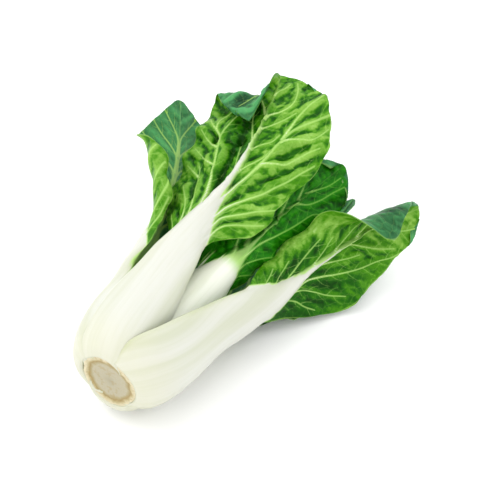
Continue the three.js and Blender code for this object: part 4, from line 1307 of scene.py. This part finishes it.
def crown_skin(colours):
    """Cut vegetable stem: dry, corky rim and a moist, fibrous pith, matt with a slight wetness."""
    material, tree = blank_material("crown_cut_stem")
    place = add_node(tree, "ShaderNodeTexCoord").outputs["Object"]
    ring = add_node(tree, "ShaderNodeAttribute", {"attribute_name": "ring"}).outputs["Fac"]
    rough = add_node(tree, "ShaderNodeAttribute", {"attribute_name": "rough"}).outputs["Fac"]
    # Fibres end in dots about 0.9 mm apart; stains are 6 mm across.
    dots = add_node(
        tree, "ShaderNodeTexNoise", None, {"Vector": place, "Scale": 1100.0, "Detail": 3.0}
    ).outputs["Fac"]
    stains = add_node(
        tree, "ShaderNodeTexNoise", None, {"Vector": place, "Scale": 170.0, "Detail": 4.0}
    ).outputs["Fac"]
    # Stains push the rings in and out, so that none is a plain circle.
    wander = add_node(
        tree, "ShaderNodeMath", {"operation": "MULTIPLY_ADD"}, {0: stains, 1: 0.22, 2: -0.11}
    ).outputs[0]
    where = add_node(tree, "ShaderNodeMath", {"operation": "ADD"}, {0: ring, 1: wander}).outputs[0]
    stops = (
        (0.0, "#a29b82"), (0.25, colours.pith), (0.62, "#b0a990"), (0.70, "#a3976f"), (0.76, "#98834e"),
        (0.84, "#c0b48c"), (0.92, colours.cork), (1.0, "#ddd4b6"),
    )
    colour = add_node(tree, "ShaderNodeValToRGB", None, {"Fac": where}, stops).outputs["Color"]
    for value, none, full, most, code in ((dots, 0.4, 0.75, 0.3, FIBRE), (rough, 0.0, -1.0, 0.4, PIT)):
        reach = {"Value": value, "From Min": none, "From Max": full, "To Max": most}
        share = add_node(tree, "ShaderNodeMapRange", SOFT, reach).outputs["Result"]
        colour = add_node(tree, "ShaderNodeMix", RGBA, {0: share, 6: colour, 7: linear(code)}).outputs[2]
    bump = add_node(
        tree, "ShaderNodeBump", None, {"Height": dots, "Strength": 0.5, "Distance": 0.5 * MM}
    )
    skin = add_node(
        tree,
        "ShaderNodeBsdfPrincipled",
        {"subsurface_method": "BURLEY"},
        {
            "Base Color": colour,
            "Roughness": 0.62,
            "Normal": bump.outputs["Normal"],
            "Subsurface Weight": 0.15,
            "Subsurface Radius": (1.0, 0.8, 0.5),
            "Subsurface Scale": 2 * MM,
        },
    )
    add_node(tree, "ShaderNodeOutputMaterial", None, {"Surface": skin.outputs["BSDF"]})
    return material


def floor_paint():
    """Matt white studio paint: no gloss, so that only soft shadows show."""
    material, tree = blank_material("floor_matt_paint")
    place = add_node(tree, "ShaderNodeTexCoord").outputs["Object"]
    # Patches a third of a metre across, just off one another.
    mottle = add_node(
        tree, "ShaderNodeTexNoise", None, {"Vector": place, "Scale": 3.0, "Detail": 2.0}
    ).outputs["Fac"]
    ramp = add_node(tree, "ShaderNodeValToRGB", None, {"Fac": mottle}, ((0, "#f8f8f8"), (1, "#fafafa")))
    paint = add_node(
        tree,
        "ShaderNodeBsdfPrincipled",
        None,
        {"Base Color": ramp.outputs["Color"], "Roughness": 1.0, "Specular IOR Level": 0.0},
    )
    add_node(tree, "ShaderNodeOutputMaterial", None, {"Surface": paint.outputs["BSDF"]})
    return material


# ---------------------------------------------------------------- operators


OUTER_LEAVES = {
    "right_leaf": "fine",
    "top_leaf": "fine",
    "left_leaf": "fine",
    "under_leaf": "coarse",
}
INNER_LEAVES = {
    "middle_leaf": "fine",
    "inner_left_leaf": "coarse",
    "inner_right_leaf": "coarse",
    "inner_under_leaf": "small",
    "heart_leaf": "small",
}


def place_leaves(leaves, material):
    for name, detail in leaves.items():
        piece = build_leaf(name, detail, bpy.context.scene.bok_choy_sizes)
        piece.name = name + "_whole"
        piece.data.materials.clear()
        piece.data.materials.append(material)
        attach(piece, "root")
        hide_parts(name + "_stalk", name + "_blade")


class BOKCHOY_OT_outer_leaves(bpy.types.Operator):
    """Model the four outer leaves, each from its stalk's foot to its blade's rim"""

    bl_idname = "bok_choy.outer_leaves"
    bl_label = "Outer Leaves"

    def execute(self, context):
        colours = context.scene.bok_choy_colours
        low, high = OUTER_BETWEEN
        greens = (colours.blade_deep_and_shade, low, colours.blade, high, colours.blade_pale_and_lit)
        skin = leaf_skin("outer_leaf_skin", greens, colours.stalk, colours.vein, colours)
        place_leaves(OUTER_LEAVES, skin)
        return {"FINISHED"}


class BOKCHOY_OT_inner_leaves(bpy.types.Operator):
    """Model the leaves inside the head"""

    bl_idname = "bok_choy.inner_leaves"
    bl_label = "Inner Leaves"

    def execute(self, context):
        colours = context.scene.bok_choy_colours
        low, high = INNER_BETWEEN
        greens = (INNER_DEEP_AND_SHADE, low, colours.heart_blade, high, INNER_PALE_AND_LIT)
        skin = leaf_skin("inner_leaf_skin", greens, INNER_STALK_LIT, INNER_VEIN, colours)
        place_leaves(INNER_LEAVES, skin)
        return {"FINISHED"}


class BOKCHOY_OT_crown(bpy.types.Operator):
    """Model the cut crown that every leaf grows from"""

    bl_idname = "bok_choy.crown"
    bl_label = "Cut Crown"

    def execute(self, context):
        piece = build_crown(context.scene.bok_choy_sizes)
        piece.data.materials.clear()
        piece.data.materials.append(crown_skin(context.scene.bok_choy_colours))
        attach(piece, "root")
        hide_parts("crown")
        return {"FINISHED"}


FLOOR_SIDE = 8.0  # m
CAMERA_PLACE = (318.3, -369.4, 573.5)  # mm, in the drawings' frame
CAMERA_BACK = (0.389, -0.647, 0.656)  # from what the camera looks at back to it
LENS = 85.0  # mm
SENSOR = 36.0  # mm
KEY_PLACE = (-0.9, -0.2, 1.7)  # m, high and to the left
KEY_AIM = (0.0, 0.0, 0.04)  # m
KEY_POWER = 8.0  # W
KEY_SIDE = 1.5  # m
SKY_STRENGTH = 1.38


class BOKCHOY_OT_stage(bpy.types.Operator):
    """Set the floor, the camera and the soft light"""

    bl_idname = "bok_choy.stage"
    bl_label = "Floor, Camera and Light"

    def execute(self, context):
        scene = context.scene
        deselect_all()
        bpy.ops.mesh.primitive_plane_add(size=FLOOR_SIDE, location=(0, 0, 0))
        floor = context.object
        floor.name = "floor"
        floor.data.materials.append(floor_paint())

        deselect_all()
        place = (np.array(CAMERA_PLACE) + ORIGIN) * MM
        bpy.ops.object.camera_add(location=tuple(place))
        camera = context.object
        camera.name = "camera"
        camera.data.lens = LENS
        camera.data.sensor_width = SENSOR
        camera.rotation_euler = (-Vector(CAMERA_BACK)).to_track_quat("-Z", "Y").to_euler()
        scene.camera = camera

        deselect_all()
        bpy.ops.object.light_add(type="AREA", location=KEY_PLACE)
        key = context.object
        key.name = "key"
        key.data.energy = KEY_POWER
        key.data.size = KEY_SIDE
        aim = Vector(KEY_AIM) - Vector(KEY_PLACE)
        key.rotation_euler = aim.to_track_quat("-Z", "Y").to_euler()

        world = bpy.data.worlds.new("studio")
        world.use_nodes = True
        tree = world.node_tree
        tree.nodes.clear()
        light = {"Color": (1, 1, 1, 1), "Strength": SKY_STRENGTH}
        sky = add_node(tree, "ShaderNodeBackground", None, light)
        add_node(tree, "ShaderNodeOutputWorld", None, {"Surface": sky.outputs["Background"]})
        scene.world = world
        scene.view_settings.view_transform = "Standard"
        scene.view_settings.look = "None"
        return {"FINISHED"}


class BOKCHOY_PT_panel(bpy.types.Panel):
    """Sizes, colours and pieces of the head of bok choy"""

    bl_idname = "BOKCHOY_PT_panel"
    bl_label = "Bok Choy"
    bl_space_type = "VIEW_3D"
    bl_region_type = "UI"
    bl_category = "Bok Choy"

    def draw(self, context):
        layout = self.layout
        for group in (context.scene.bok_choy_sizes, context.scene.bok_choy_colours):
            for key in group.__annotations__:
                layout.prop(group, key)
        for operator in OPERATORS:
            layout.operator(operator.bl_idname)


OPERATORS = (BOKCHOY_OT_outer_leaves, BOKCHOY_OT_inner_leaves, BOKCHOY_OT_crown, BOKCHOY_OT_stage)
CLASSES = (BokChoySizes, BokChoyColours, *OPERATORS, BOKCHOY_PT_panel)


def register():
    for item in CLASSES:
        bpy.utils.register_class(item)
    bpy.types.Scene.bok_choy_sizes = bpy.props.PointerProperty(type=BokChoySizes)
    bpy.types.Scene.bok_choy_colours = bpy.props.PointerProperty(type=BokChoyColours)


def unregister():
    del bpy.types.Scene.bok_choy_colours
    del bpy.types.Scene.bok_choy_sizes
    for item in reversed(CLASSES):
        bpy.utils.unregister_class(item)


def main():
    register()
    bpy.ops.bok_choy.outer_leaves()
    bpy.ops.bok_choy.inner_leaves()
    bpy.ops.bok_choy.crown()
    bpy.ops.bok_choy.stage()
    deselect_all()


if __name__ == "__main__":
    main()
